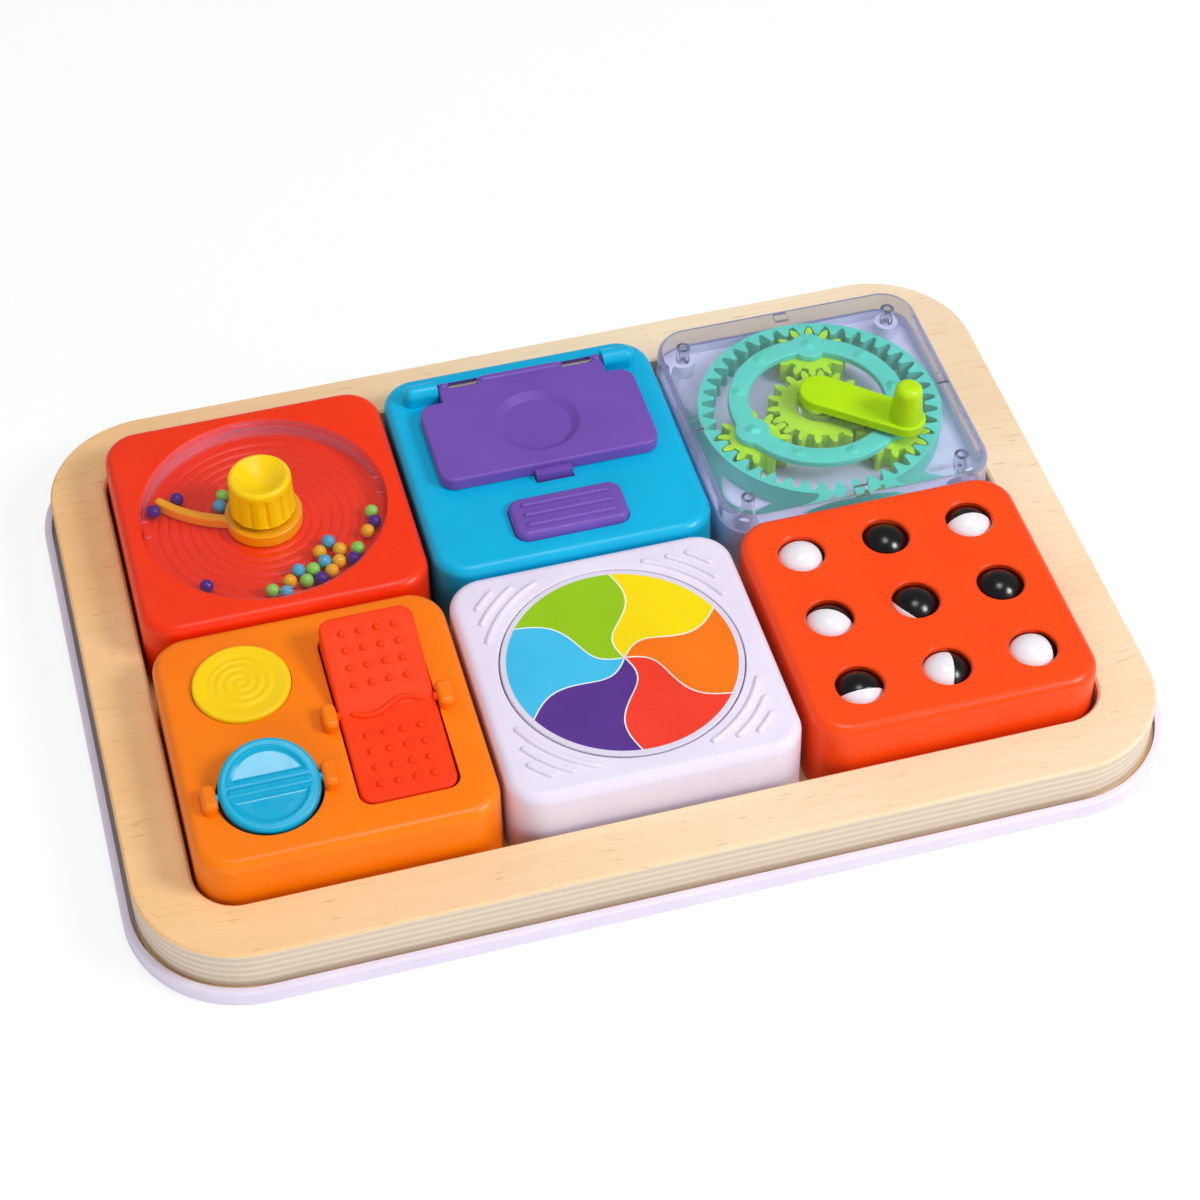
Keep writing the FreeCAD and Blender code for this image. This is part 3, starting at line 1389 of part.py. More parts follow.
def colour_disc():
    body = tile_body("spinner", "colour_disc", rise="tile_height + disc_rise - disc_thick")
    disc = new_sketch(body)
    draw_circle(disc, "disc_radius")
    pad(body, disc, "disc_thick")
    dress(body, "Chamfer", "disc_rise", at_level("disc_thick"))
    cut_hole(body, "print_radius", "print_thick", level="disc_thick")
    add_post(body, "disc_stem", "disc_recess + deck_thick + disc_rise - disc_thick", down=True)
    bore = new_sketch(body, rise="disc_thick - disc_rise - disc_recess - deck_thick")
    draw_circle(bore, "screw_radius")
    pocket(body, bore, "disc_recess + deck_thick - disc_thick", up=True)


def disc_print():
    body = tile_body("spinner", "disc_print", rise="tile_height + disc_rise - print_thick")
    sketch = new_sketch(body)
    draw_circle(sketch, "print_radius")
    pad(body, sketch, "print_thick")


def spinner_tile():
    spinner_tile_shell()
    tile_base("spinner", "spinner_tile_base")
    colour_disc()
    disc_print()
    screw("disc_screw", "spinner", "tile_height - disc_recess - deck_thick - move_gap",
          "disc_recess + deck_thick - disc_thick")


# Ball tile

def ball_tile_shell():
    body = tile_shell("ball", "ball_tile_shell")
    holes = new_sketch(body, rise="tile_height")
    for side in ("-ball_pitch", "0", "ball_pitch"):
        for back in ("-ball_pitch", "0", "ball_pitch"):
            draw_circle(holes, "ball_hole_radius", side, back)
    pocket(body, holes, "deck_thick")
    circumference = value("2 * pi * ball_hole_radius")
    on_deck = at_level("tile_height")
    dress(body, "Chamfer", "ball_hole_chamfer",
          lambda edge: on_deck(edge) and abs(edge.Length - circumference) < NEAR)


def ball_tile_base():
    """The base carries two rails under each row of balls."""
    body = tile_base("ball", "ball_tile_base")
    rail = new_sketch(body, rise="base_floor")
    for row in ("-ball_pitch", "0", "ball_pitch"):
        for way in ("-", "+"):
            middle = row + " " + way + " (ball_rail_offset + ball_rail_thick / 2)"
            draw_box(rail, "2 * ball_pitch + 2 * ball_radius", "ball_rail_thick", back=middle)
    drop = "sqrt((ball_radius + move_gap) ^ 2 - ball_rail_offset ^ 2)"
    pad(body, rail, BALL_LEVEL + " - " + drop + " - base_floor")


def balls():
    """Nine loose balls, numbered from the back left along each row."""
    column, row = TILES["ball"]
    number = 0
    for back in ("ball_pitch", "0", "-ball_pitch"):
        for side in ("-ball_pitch", "0", "ball_pitch"):
            number += 1
            ball = document.addObject("Part::Sphere", "ball_%d" % number)
            ball.Label = "ball_%d" % number
            bind(ball, {
                "Radius": "ball_radius",
                "Placement.Base.x": column + " + " + side,
                "Placement.Base.y": row + " + " + back,
                "Placement.Base.z": TILE_SEAT + " + " + BALL_LEVEL,
            })
            nodes.append(ball)


def ball_tile():
    ball_tile_shell()
    ball_tile_base()
    balls()


# Build, check and write

def check(thing):
    if {"Invalid", "Error"} & set(thing.State):
        raise ValueError("%s failed: %s" % (thing.Label, thing.State))


def check_shape(node):
    if node.Shape.isNull() or not node.Shape.isValid() or not node.Shape.Solids:
        raise ValueError("%s has no valid solid" % node.Label)


def main():
    fill_sheet()
    for build in (base_tray, floor_panel, board_frame, bead_tile, flap_tile, gear_tile,
                  switch_tile, spinner_tile, ball_tile):
        build()
    document.recompute()
    for thing in document.Objects:
        check(thing)
    for node in nodes:
        check_shape(node)
    os.makedirs("parts", exist_ok=True)
    for node in nodes:
        node.Shape.exportStep("parts/" + node.Label + ".step")
    print("%d nodes" % len(nodes))


main()
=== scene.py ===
import json
import math

import bmesh
import bpy
import numpy as np
from mathutils import Matrix, Vector


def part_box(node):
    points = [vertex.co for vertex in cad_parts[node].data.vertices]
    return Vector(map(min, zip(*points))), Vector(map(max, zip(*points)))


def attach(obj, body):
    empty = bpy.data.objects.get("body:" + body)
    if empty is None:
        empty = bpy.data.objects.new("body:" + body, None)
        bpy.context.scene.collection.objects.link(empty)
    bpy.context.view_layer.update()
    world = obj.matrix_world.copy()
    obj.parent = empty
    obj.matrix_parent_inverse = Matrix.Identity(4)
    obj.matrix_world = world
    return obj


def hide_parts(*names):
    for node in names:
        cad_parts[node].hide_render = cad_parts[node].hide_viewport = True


# Busy board: finishes, moulded details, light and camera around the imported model.
# Metres, +Z up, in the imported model's own frame. Small sizes are written as millimetres * MM.

MM = 0.001
TURN = 2 * math.pi
TINY = 1e-9

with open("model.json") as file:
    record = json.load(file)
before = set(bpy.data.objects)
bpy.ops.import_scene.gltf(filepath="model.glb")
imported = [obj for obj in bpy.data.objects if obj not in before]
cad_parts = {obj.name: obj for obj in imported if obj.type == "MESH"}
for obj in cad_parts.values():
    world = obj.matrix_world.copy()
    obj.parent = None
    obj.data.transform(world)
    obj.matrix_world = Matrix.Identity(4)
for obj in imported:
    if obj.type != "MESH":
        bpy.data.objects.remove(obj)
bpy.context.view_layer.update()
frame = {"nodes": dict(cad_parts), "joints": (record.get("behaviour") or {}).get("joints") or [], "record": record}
nodes = frame["nodes"]


# Sizes read from the frame

def low(node):
    """A node's lowest corner, at rest."""
    return np.array(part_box(node)[0])


def high(node):
    """A node's highest corner, at rest."""
    return np.array(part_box(node)[1])


def middle(node):
    """The middle of a node's box, at rest."""
    return (low(node) + high(node)) / 2


def joint_place(name):
    """The point of a joint's axis, at rest."""
    joint = next(one for one in frame["joints"] if one["name"] == name)
    return np.array(joint["pos_m"])


# Surfaces worked out as arrays

def quads(rows, columns, loop_rows, loop_columns):
    """Faces between neighbours of a grid of points; a loop joins its last line to its first."""
    row, column = np.meshgrid(
        np.arange(rows if loop_rows else rows - 1),
        np.arange(columns if loop_columns else columns - 1),
        indexing="ij",
    )
    below = (row + 1) % rows
    beside = (column + 1) % columns
    corners = (row * columns + column, row * columns + beside,
               below * columns + beside, below * columns + column)
    return np.stack(corners, axis=-1).reshape(-1, 4)


class Surface:
    """Grids of points gathered to become one mesh, each with the number of its finish."""

    def __init__(self):
        self.points = []
        self.faces = []
        self.finishes = []
        self.count = 0

    def add(self, grid, loop_rows=False, loop_columns=False, finish=0):
        """Adds a grid; its finish is one number, or a number for each of its faces."""
        rows, columns = grid.shape[:2]
        faces = quads(rows, columns, loop_rows, loop_columns)
        self.points.append(grid.reshape(-1, 3))
        self.faces.append(faces + self.count)
        self.finishes.append(np.broadcast_to(finish, len(faces)))
        self.count += rows * columns
        return self

    def arrays(self):
        """All points, all faces and the faces' finishes."""
        return np.concatenate(self.points), np.concatenate(self.faces), np.concatenate(self.finishes)


def weld(mesh, reach=1e-7):
    """Joins points that share a place, so that seams and poles close, and turns the faces outwards."""
    work = bmesh.new()
    work.from_mesh(mesh)
    bmesh.ops.remove_doubles(work, verts=work.verts, dist=reach)
    bmesh.ops.dissolve_degenerate(work, edges=work.edges, dist=reach)
    bmesh.ops.recalc_face_normals(work, faces=work.faces)
    work.to_mesh(mesh)
    work.free()


def add_piece(name, surface, body, slot, stands_for=(), finishes=None, crease=32):
    """A mesh piece that rides on a body, in its slot's own finish or in the finishes named.

    Edges sharper than the crease angle, in degrees, stay crisp.
    """
    points, faces, numbers = surface.arrays()
    mesh = bpy.data.meshes.new(name)
    mesh.from_pydata(points.tolist(), [], faces.tolist())
    for finish in finishes or (slot,):
        mesh.materials.append(FINISHES[finish])
    mesh.polygons.foreach_set("material_index", numbers.astype(np.int32))
    weld(mesh)
    mesh.polygons.foreach_set("use_smooth", np.ones(len(mesh.polygons), bool))
    mesh.set_sharp_from_angle(angle=math.radians(crease))
    piece = bpy.data.objects.new(name, mesh)
    bpy.context.scene.collection.objects.link(piece)
    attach(piece, body)
    if stands_for:
        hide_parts(*stands_for)
    return piece


def soften(corners, radii, steps=6):
    """A profile with its corners rounded.

    Each inner corner becomes an arc about the point that lies the radius away from both of its
    sides; the arc's points swing evenly from the first touching point to the last.
    """
    corners = np.asarray(corners, float)
    line = [corners[:1]]
    for before, corner, after, radius in zip(corners, corners[1:], corners[2:], radii):
        if radius <= 0:
            line.append(corner[None])
            continue
        into = (before - corner) / np.linalg.norm(before - corner)
        onto = (after - corner) / np.linalg.norm(after - corner)
        half = math.acos(np.clip(into @ onto, -1, 1)) / 2
        centre = corner + (into + onto) / np.linalg.norm(into + onto) * radius / math.sin(half)
        first = corner + into * radius / math.tan(half) - centre
        last = corner + onto * radius / math.tan(half) - centre
        share = np.linspace(0, 1, steps + 1)[:, None]
        swing = math.pi - 2 * half
        arc = first * np.sin((1 - share) * swing) + last * np.sin(share * swing)
        line.append(centre + arc / math.sin(swing))
    line.append(corners[-1:])
    return np.concatenate(line)


def angles(count):
    """Directions at even steps of one turn, the last one step short of the first."""
    return np.arange(count) * TURN / count


def around_axis(reach, around, height):
    """Points at a reach from the upright axis, in a direction round it and at a height."""
    along, side, up = np.broadcast_arrays(reach * np.cos(around), reach * np.sin(around), height)
    return np.stack((along, side, up), axis=-1)


def revolve(profile, count):
    """A profile of radius and height, turned about the upright axis."""
    radius, height = np.asarray(profile).T[..., None]
    return around_axis(radius, angles(count), height)


def ring_reach(half_length, half_width, corner, around):
    """How far a rectangle with round corners reaches from its middle in each direction.

    A direction meets one of the straight sides, or else the circle of the corner radius about the
    corner's own centre, at the farther of its two crossings.
    """
    cosine = np.abs(np.cos(around))
    sine = np.abs(np.sin(around))
    inner_x = half_length - corner
    inner_y = half_width - corner
    to_side = half_length / np.maximum(cosine, TINY)
    to_back = half_width / np.maximum(sine, TINY)
    along = cosine * inner_x + sine * inner_y
    root = np.sqrt(np.maximum(along ** 2 - inner_x ** 2 - inner_y ** 2 + corner ** 2, 0))
    to_corner = along + root
    on_side = to_side * sine <= inner_y
    on_back = to_back * cosine <= inner_x
    return np.where(on_side, to_side, np.where(on_back, to_back, to_corner))


def carry(stations, count):
    """Rings of half length, half width, corner radius and height, one for each station."""
    half_length, half_width, corner, height = np.asarray(stations, float).T[..., None]
    around = angles(count)
    return around_axis(ring_reach(half_length, half_width, corner, around), around, height)


# Shader parts

WHITE = (1.0, 1.0, 1.0, 1.0)


def linear(red, green, blue):
    """The scene's linear colour for a colour written as 0 to 255."""
    share = np.array((red, green, blue)) / 255
    curve = np.where(share <= 0.04045, share / 12.92, ((share + 0.055) / 1.055) ** 2.4)
    return (*curve.tolist(), 1.0)


def add_node(tree, kind, sockets=None, **settings):
    """Adds a node; a socket takes a number, a colour or the output that feeds it."""
    new = tree.nodes.new("ShaderNode" + kind)
    for name, setting in settings.items():
        setattr(new, name, setting)
    for name, source in (sockets or {}).items():
        if isinstance(source, bpy.types.NodeSocket):
            tree.links.new(source, new.inputs[name])
        else:
            new.inputs[name].default_value = source
    return new


def new_group(name, takes, gives):
    """An empty node group, with its input and output nodes."""
    tree = bpy.data.node_groups.new(name, "ShaderNodeTree")
    for label, (kind, default) in takes.items():
        socket = tree.interface.new_socket(label, in_out="INPUT", socket_type="NodeSocket" + kind)
        if default is not None:
            socket.default_value = default
    for label, kind in gives.items():
        tree.interface.new_socket(label, in_out="OUTPUT", socket_type="NodeSocket" + kind)
    return tree, tree.nodes.new("NodeGroupInput").outputs, tree.nodes.new("NodeGroupOutput").inputs


def mix(tree, share, first, second, blend="MIX"):
    """The second colour over the first by a share, laid on it or blended as asked."""
    sockets = {"Fac": share, "Color1": first, "Color2": second}
    return add_node(tree, "MixRGB", sockets, blend_type=blend).outputs[0]


def arithmetic(tree, operation, first, second=0.0):
    """A calculation on two values; one that needs a single value ignores the second."""
    return add_node(tree, "Math", {0: first, 1: second}, operation=operation).outputs[0]


def scaled_range(tree, source, from_low, from_high, to_low, to_high):
    """A value's range moved to another, and held at both ends of it."""
    sockets = {
        "Value": source, "From Min": from_low, "From Max": from_high, "To Min": to_low, "To Max": to_high,
    }
    return add_node(tree, "MapRange", sockets).outputs[0]


def object_place(tree):
    """A point's own place on its piece."""
    return add_node(tree, "TexCoord").outputs["Object"]


def upness(tree):
    """How level a face lies: 1 on a deck, 0 on an upright wall."""
    normal = add_node(tree, "NewGeometry").outputs["Normal"]
    return arithmetic(tree, "ABSOLUTE", add_node(tree, "SeparateXYZ", {0: normal}).outputs["Z"])


def blend_shaders(tree, share, first, second):
    """The second shader over the first by a share."""
    return add_node(tree, "MixShader", {"Fac": share, 1: first, 2: second}).outputs[0]


def noise(tree, place, scale, detail=3.0, roughness=0.55):
    """Soft random blots, from 0 to 1, with as many to a metre as the scale says."""
    sockets = {"Vector": place, "Scale": scale, "Detail": detail, "Roughness": roughness}
    return add_node(tree, "TexNoise", sockets).outputs["Fac"]


def stretched(tree, place, scale):
    """Places scaled along each axis: a small share draws a pattern out, a large one packs it."""
    return add_node(tree, "Mapping", {"Vector": place, "Scale": scale}).outputs[0]


def moulded_skin_group():
    """Moulded plastic: cloudy depth of colour, a faint orange peel and rubbed, less shiny patches."""
    tree, given, out = new_group("moulded_skin", {
        "Color": ("Color", None),
        "Deep Color": ("Color", None),
        "Roughness": ("Float", 0.3),
        "Cloud Scale": ("Float", 40.0),
        "Peel": ("Float", 0.1),
    }, {"Color": "Color", "Roughness": "Float", "Normal": "Vector"})
    place = object_place(tree)
    cloud = noise(tree, place, given["Cloud Scale"])
    depth = scaled_range(tree, cloud, 0.3, 0.7, 0.0, 1.0)
    tree.links.new(mix(tree, depth, given["Color"], given["Deep Color"]), out["Color"])
    rub = noise(tree, place, 160.0, 5.0, 0.65)
    rubbed = scaled_range(tree, rub, 0.35, 0.75, -0.05, 0.09)
    tree.links.new(arithmetic(tree, "ADD", given["Roughness"], rubbed), out["Roughness"])
    peel = noise(tree, place, 900.0, 2.0, 0.5)
    bump = add_node(tree, "Bump", {"Strength": given["Peel"], "Distance": 0.05 * MM, "Height": peel})
    tree.links.new(bump.outputs[0], out["Normal"])
    return tree


def specks_group():
    """Sparse dust: a mask of tiny round flecks."""
    tree, given, out = new_group("dust_specks", {
        "Color": ("Color", None),
        "Dust Color": ("Color", None),
        "Amount": ("Float", 0.5),
        "Scale": ("Float", 260.0),
    }, {"Color": "Color", "Mask": "Float"})
    place = object_place(tree)
    cells = add_node(tree, "TexVoronoi", {"Vector": place, "Scale": given["Scale"], "Randomness": 1.0})
    near = scaled_range(tree, cells.outputs["Distance"], 0.05, 0.1, 1.0, 0.0)
    chosen = noise(tree, place, 55.0, 2.0, 0.6)
    rare = scaled_range(tree, chosen, 0.62, 0.7, 0.0, 1.0)
    mask = arithmetic(tree, "MULTIPLY", arithmetic(tree, "MULTIPLY", near, rare), given["Amount"])
    tree.links.new(mask, out["Mask"])
    tree.links.new(mix(tree, mask, given["Color"], given["Dust Color"]), out["Color"])
    return tree


def wood_figure_group():
    """Sliced wood with its grain along X: broad bands, fine fibres and short dark pores."""
    tree, given, out = new_group("wood_figure", {
        "Light": ("Color", None),
        "Dark": ("Color", None),
        "Pore": ("Color", None),
        "Band Scale": ("Float", 18.0),
    }, {"Color": "Color", "Roughness": "Float", "Height": "Float"})
    place = object_place(tree)
    wander = noise(tree, place, 9.0, 3.0, 0.5)
    bent = add_node(tree, "VectorMath", {0: (0.0, 0.012, 0.004)}, operation="SCALE")
    tree.links.new(wander, bent.inputs["Scale"])
    moved = add_node(tree, "VectorMath", {0: place, 1: bent.outputs[0]}, operation="ADD").outputs[0]
    bands = noise(tree, stretched(tree, moved, (0.12, 1.0, 1.0)), given["Band Scale"], 4.0, 0.6)
    fibres = noise(tree, stretched(tree, moved, (0.035, 1.0, 1.0)), 700.0, 4.0, 0.6)
    pits = noise(tree, stretched(tree, moved, (0.14, 1.0, 1.0)), 900.0, 2.0, 0.5)
    band_mask = scaled_range(tree, bands, 0.38, 0.66, 0.0, 1.0)
    fibre_mask = scaled_range(tree, fibres, 0.3, 0.7, 0.0, 1.0)
    both = arithmetic(tree, "ADD", arithmetic(tree, "MULTIPLY", band_mask, 0.62),
                      arithmetic(tree, "MULTIPLY", fibre_mask, 0.38))
    pit_mask = scaled_range(tree, pits, 0.66, 0.74, 0.0, 0.5)
    ground = mix(tree, both, given["Light"], given["Dark"])
    tree.links.new(mix(tree, pit_mask, ground, given["Pore"]), out["Color"])
    tree.links.new(scaled_range(tree, fibre_mask, 0.0, 1.0, 0.42, 0.58), out["Roughness"])
    tree.links.new(arithmetic(tree, "SUBTRACT", fibre_mask, pit_mask), out["Height"])
    return tree


skin = moulded_skin_group()
specks = specks_group()
figure = wood_figure_group()


# Finishes

def group_node(tree, group, sockets):
    """A shared group placed in a material, with the material's own values."""
    return add_node(tree, "Group", sockets, node_tree=group).outputs


def new_material(name):
    """A material with its node tree and its surface shader."""
    material = bpy.data.materials.new(name)
    material.use_nodes = True
    tree = material.node_tree
    return material, tree, tree.nodes["Principled BSDF"]


def feed(tree, shader, outputs, names=("Color", "Roughness", "Normal")):
    """Links a group's outputs to the surface shader's sockets of the same meaning."""
    for name in names:
        tree.links.new(outputs[name], shader.inputs["Base Color" if name == "Color" else name])


def feed_bump(tree, shader, height):
    """The wood's shallow relief."""
    bump = add_node(tree, "Bump", {"Strength": 0.25, "Distance": 0.06 * MM, "Height": height})
    tree.links.new(bump.outputs[0], shader.inputs["Normal"])


def finish_with(tree, shading):
    """Makes a shader other than the surface shader the material's own."""
    tree.links.new(shading, tree.nodes["Material Output"].inputs["Surface"])


def plastic(name, color, deep, roughness=0.32, clouds=40.0, peel=0.12, shine=0.34, dust=0.04):
    """Solid coloured, injection moulded plastic."""
    material, tree, shader = new_material(name)
    base = group_node(tree, skin, {
        "Color": linear(*color), "Deep Color": linear(*deep), "Roughness": roughness,
        "Cloud Scale": clouds, "Peel": peel,
    })
    dusty = group_node(tree, specks, {
        "Color": base["Color"], "Dust Color": linear(236, 228, 224), "Amount": dust,
    })
    feed(tree, shader, base, ("Roughness", "Normal"))
    tree.links.new(dusty["Color"], shader.inputs["Base Color"])
    shader.inputs["Specular IOR Level"].default_value = shine
    return material


def clear_plastic(name, tint, roughness=0.03):
    """Clear moulded plastic that lets the light through to what it covers."""
    material, tree, shader = new_material(name)
    base = group_node(tree, skin, {
        "Color": linear(*tint), "Deep Color": linear(*tint), "Roughness": roughness,
        "Cloud Scale": 60.0, "Peel": 0.05,
    })
    feed(tree, shader, base, ("Color", "Normal"))
    shader.inputs["Roughness"].default_value = roughness
    shader.inputs["IOR"].default_value = 1.35
    shader.inputs["Transmission Weight"].default_value = 0.97
    ray = add_node(tree, "LightPath").outputs
    through = add_node(tree, "BsdfTransparent", {"Color": linear(*tint)}).outputs[0]
    finish_with(tree, blend_shaders(tree, ray["Is Shadow Ray"], shader.outputs[0], through))
    return material


def window_plastic(name, tint, painted_rim_tint):
    """A thin clear window: a little glossy, more so at a low angle, and milky pink on its upright edges, which is
    painted light: the red chamber wall seen through the skirt and the bright line along the rim.
    """
    material, tree, shader = new_material(name)
    base = group_node(tree, skin, {
        "Color": linear(*painted_rim_tint), "Deep Color": linear(*painted_rim_tint), "Roughness": 0.12,
        "Cloud Scale": 60.0, "Peel": 0.05,
    })
    feed(tree, shader, base)
    shader.inputs["Specular IOR Level"].default_value = 0.5
    through = add_node(tree, "BsdfTransparent", {"Color": linear(*tint)}).outputs[0]
    gloss = add_node(tree, "BsdfGlossy", {"Color": WHITE, "Roughness": 0.06, "Normal": base["Normal"]})
    facing = add_node(tree, "LayerWeight", {"Blend": 0.5}).outputs["Facing"]
    shiny = scaled_range(tree, arithmetic(tree, "POWER", facing, 4.0), 0.0, 1.0, 0.03, 0.6)
    pane = blend_shaders(tree, shiny, through, gloss.outputs[0])
    # Upright edges: a share of painted pink, for the red wall seen through the skirt and the light along the rim
    rim = blend_shaders(tree, 0.24, through, shader.outputs[0])
    upright = scaled_range(tree, upness(tree), 0.4, 0.7, 1.0, 0.0)
    both = blend_shaders(tree, upright, pane, rim)
    ray = add_node(tree, "LightPath").outputs
    finish_with(tree, blend_shaders(tree, ray["Is Shadow Ray"], both, through))
    return material


def steel(name, dull, bright, smooth, rough):
    """Turned steel: fine patches of brighter and duller metal."""
    material, tree, shader = new_material(name)
    place = object_place(tree)
    lines = noise(tree, place, 300.0, 2.0, 0.5)
    tone = mix(tree, lines, linear(*dull), linear(*bright))
    tree.links.new(tone, shader.inputs["Base Color"])
    tree.links.new(scaled_range(tree, lines, 0.3, 0.7, smooth, rough), shader.inputs["Roughness"])
    shader.inputs["Metallic"].default_value = 1.0
    return material


def mirror(name):
    """A soft plastic mirror."""
    material, tree, shader = new_material(name)
    place = object_place(tree)
    haze = noise(tree, place, 90.0, 4.0, 0.6)
    tree.links.new(mix(tree, haze, linear(232, 234, 238), linear(242, 243, 246)), shader.inputs["Base Color"])
    tree.links.new(scaled_range(tree, haze, 0.3, 0.7, 0.03, 0.08), shader.inputs["Roughness"])
    shader.inputs["Metallic"].default_value = 1.0
    return material


def wood_panel(name, light, dark, pore, bands):
    """A plain sliced wooden panel."""
    material, tree, shader = new_material(name)
    wood = group_node(tree, figure, {
        "Light": linear(*light), "Dark": linear(*dark), "Pore": linear(*pore), "Band Scale": bands,
    })
    feed(tree, shader, wood, ("Color", "Roughness"))
    feed_bump(tree, shader, wood["Height"])
    return material


def plywood(name, base_level, thick, plies=11):
    """Veneered plywood: figured faces, and edges that show its plies one above the other.

    The height above the base, a little ragged, divided by one ply's thickness counts the plies: its
    fraction finds the glue lines, and every second ply is greyer.
    """
    material, tree, shader = new_material(name)
    wood = group_node(tree, figure, {
        "Light": linear(252, 232, 200), "Dark": linear(240, 208, 168), "Pore": linear(206, 158, 108),
        "Band Scale": 16.0,
    })
    place = object_place(tree)
    parts = add_node(tree, "SeparateXYZ", {0: place}).outputs
    # The faces grow browner towards the board's left, -X: partly the veneer's own tone and partly painted shade,
    # where the light falls off away from the right
    left_shade_and_tone = scaled_range(tree, parts["X"], -0.19, 0.03, 1.0, 0.0)
    veneer = mix(tree, left_shade_and_tone, wood["Color"], linear(255, 226, 184), "MULTIPLY")
    ragged = arithmetic(tree, "MULTIPLY", noise(tree, place, 420.0, 3.0, 0.6), 0.35 * MM)
    level = arithmetic(tree, "ADD", parts["Z"], ragged)
    layer = arithmetic(tree, "DIVIDE", arithmetic(tree, "SUBTRACT", level, base_level), thick / plies)
    pairs = arithmetic(tree, "FRACT", arithmetic(tree, "MULTIPLY", layer, 0.5))
    odd = arithmetic(tree, "GREATER_THAN", pairs, 0.5)
    streaks = noise(tree, stretched(tree, place, (0.1, 0.1, 2.0)), 420.0, 4.0, 0.65)
    pale = mix(tree, streaks, linear(240, 223, 200), linear(226, 208, 184))
    grey = mix(tree, streaks, linear(226, 208, 184), linear(212, 192, 168))
    ply = mix(tree, odd, pale, grey)
    off_middle = arithmetic(tree, "SUBTRACT", arithmetic(tree, "FRACT", layer), 0.5)
    glue = scaled_range(tree, arithmetic(tree, "ABSOLUTE", off_middle), 0.44, 0.49, 0.0, 0.3)
    cut = mix(tree, glue, ply, linear(172, 140, 108))
    edge = scaled_range(tree, upness(tree), 0.2, 0.5, 1.0, 0.0)
    tree.links.new(mix(tree, edge, veneer, cut), shader.inputs["Base Color"])
    tree.links.new(wood["Roughness"], shader.inputs["Roughness"])
    feed_bump(tree, shader, wood["Height"])
    return material


# Moulded plastics: colour, deeper colour, roughness
MOULDED = {
    "lilac_plastic": ((236, 228, 246), (230, 220, 242), 0.36),
    # A greyer copy of the lilac: painted shade for the gear tile's base, which lies dim under its clear cover
    "lilac_painted_shade": ((212, 210, 230), (206, 204, 224), 0.36),
    "red_plastic": ((252, 56, 6), (247, 50, 4), 0.32),
    "amber_plastic": ((255, 188, 20), (252, 178, 12), 0.36),
    "yellow_plastic": ((255, 214, 0), (253, 206, 0), 0.34),
    "blue_plastic": ((0, 182, 228), (0, 174, 220), 0.32),
    "purple_plastic": ((118, 83, 180), (110, 76, 172), 0.34),
    "teal_plastic": ((92, 212, 188), (80, 204, 178), 0.34),
    "lime_plastic": ((184, 232, 0), (172, 222, 0), 0.34),
    "orange_plastic": ((255, 130, 0), (255, 123, 0), 0.32),
    "red_orange_plastic": ((255, 76, 12), (252, 68, 8), 0.32),
    "turquoise_plastic": ((0, 176, 216), (0, 166, 208), 0.28),
    "disc_plastic": ((226, 218, 238), (220, 212, 232), 0.32),
    "disc_film": ((240, 238, 244), (236, 234, 240), 0.3),
    "print_white": ((246, 244, 248), (240, 238, 244), 0.3),
    "print_green": ((152, 202, 22), (146, 196, 18), 0.3),
    "print_yellow": ((252, 224, 0), (246, 216, 0), 0.3),
    "print_orange": ((252, 124, 14), (246, 116, 10), 0.3),
    "print_red": ((246, 66, 44), (240, 58, 38), 0.3),
    "print_purple": ((94, 56, 146), (84, 48, 136), 0.3),
    "print_blue": ((70, 196, 238), (60, 188, 232), 0.3),
}
# The same for small glossy pieces, which hold no dust
POLISHED = {
    "bead_green": ((150, 232, 96), (134, 220, 80), 0.14),
    "bead_blue": ((84, 188, 224), (70, 176, 214), 0.14),
    "bead_yellow": ((250, 192, 20), (244, 182, 12), 0.14),
    "bead_purple": ((82, 34, 150), (70, 26, 132), 0.14),
    "ball_plastic": ((240, 236, 242), (234, 230, 236), 0.2),
    "ball_black": ((12, 11, 13), (8, 8, 10), 0.22),
}
board_low = low("board_frame")[2]
FINISHES = {name: plastic(name, *look) for name, look in MOULDED.items()}
FINISHES |= {name: plastic(name, *look, dust=0.0, shine=0.5) for name, look in POLISHED.items()}
FINISHES |= {
    "turquoise_gloss": plastic("turquoise_gloss", (0, 176, 216), (0, 166, 208), 0.12,
                               peel=0.02, dust=0.0, shine=0.5),
    "rocker_red": plastic("rocker_red", (255, 66, 12), (250, 58, 8), 0.46, shine=0.2),
    "plywood": plywood("plywood", board_low, high("board_frame")[2] - board_low),
    "panel_wood": wood_panel("panel_wood", (244, 208, 154), (228, 184, 128), (170, 124, 82), 20.0),
    "clear_plastic": clear_plastic("clear_plastic", (232, 234, 241)),
    # The window's second colour is the painted pink of its upright edges, for the red wall seen through its skirt
    "clear_window": window_plastic("clear_window", (252, 249, 252), (250, 206, 226)),
    "steel": steel("steel", (172, 173, 178), (192, 193, 198), 0.34, 0.44),
    "pin_steel": steel("pin_steel", (128, 122, 124), (146, 140, 142), 0.46, 0.54),
    "mirror": mirror("mirror"),
}
# Nodes whose finish is not the one of their slot
# The gear tile's base takes the greyer lilac: painted shade for its dimness under the clear cover
OWN_FINISH = {"bead_window": "clear_window", "flap_hinge_pin": "pin_steel", "gear_tile_base": "lilac_painted_shade"}

for part in frame["record"]["subparts"]:
    mesh = nodes[part["node"]].data
    mesh.materials.clear()
    mesh.materials.append(FINISHES[OWN_FINISH.get(part["node"], part["material_slot"])])


# Moulded details. Shapes are in millimetres about their own middle until they are placed.

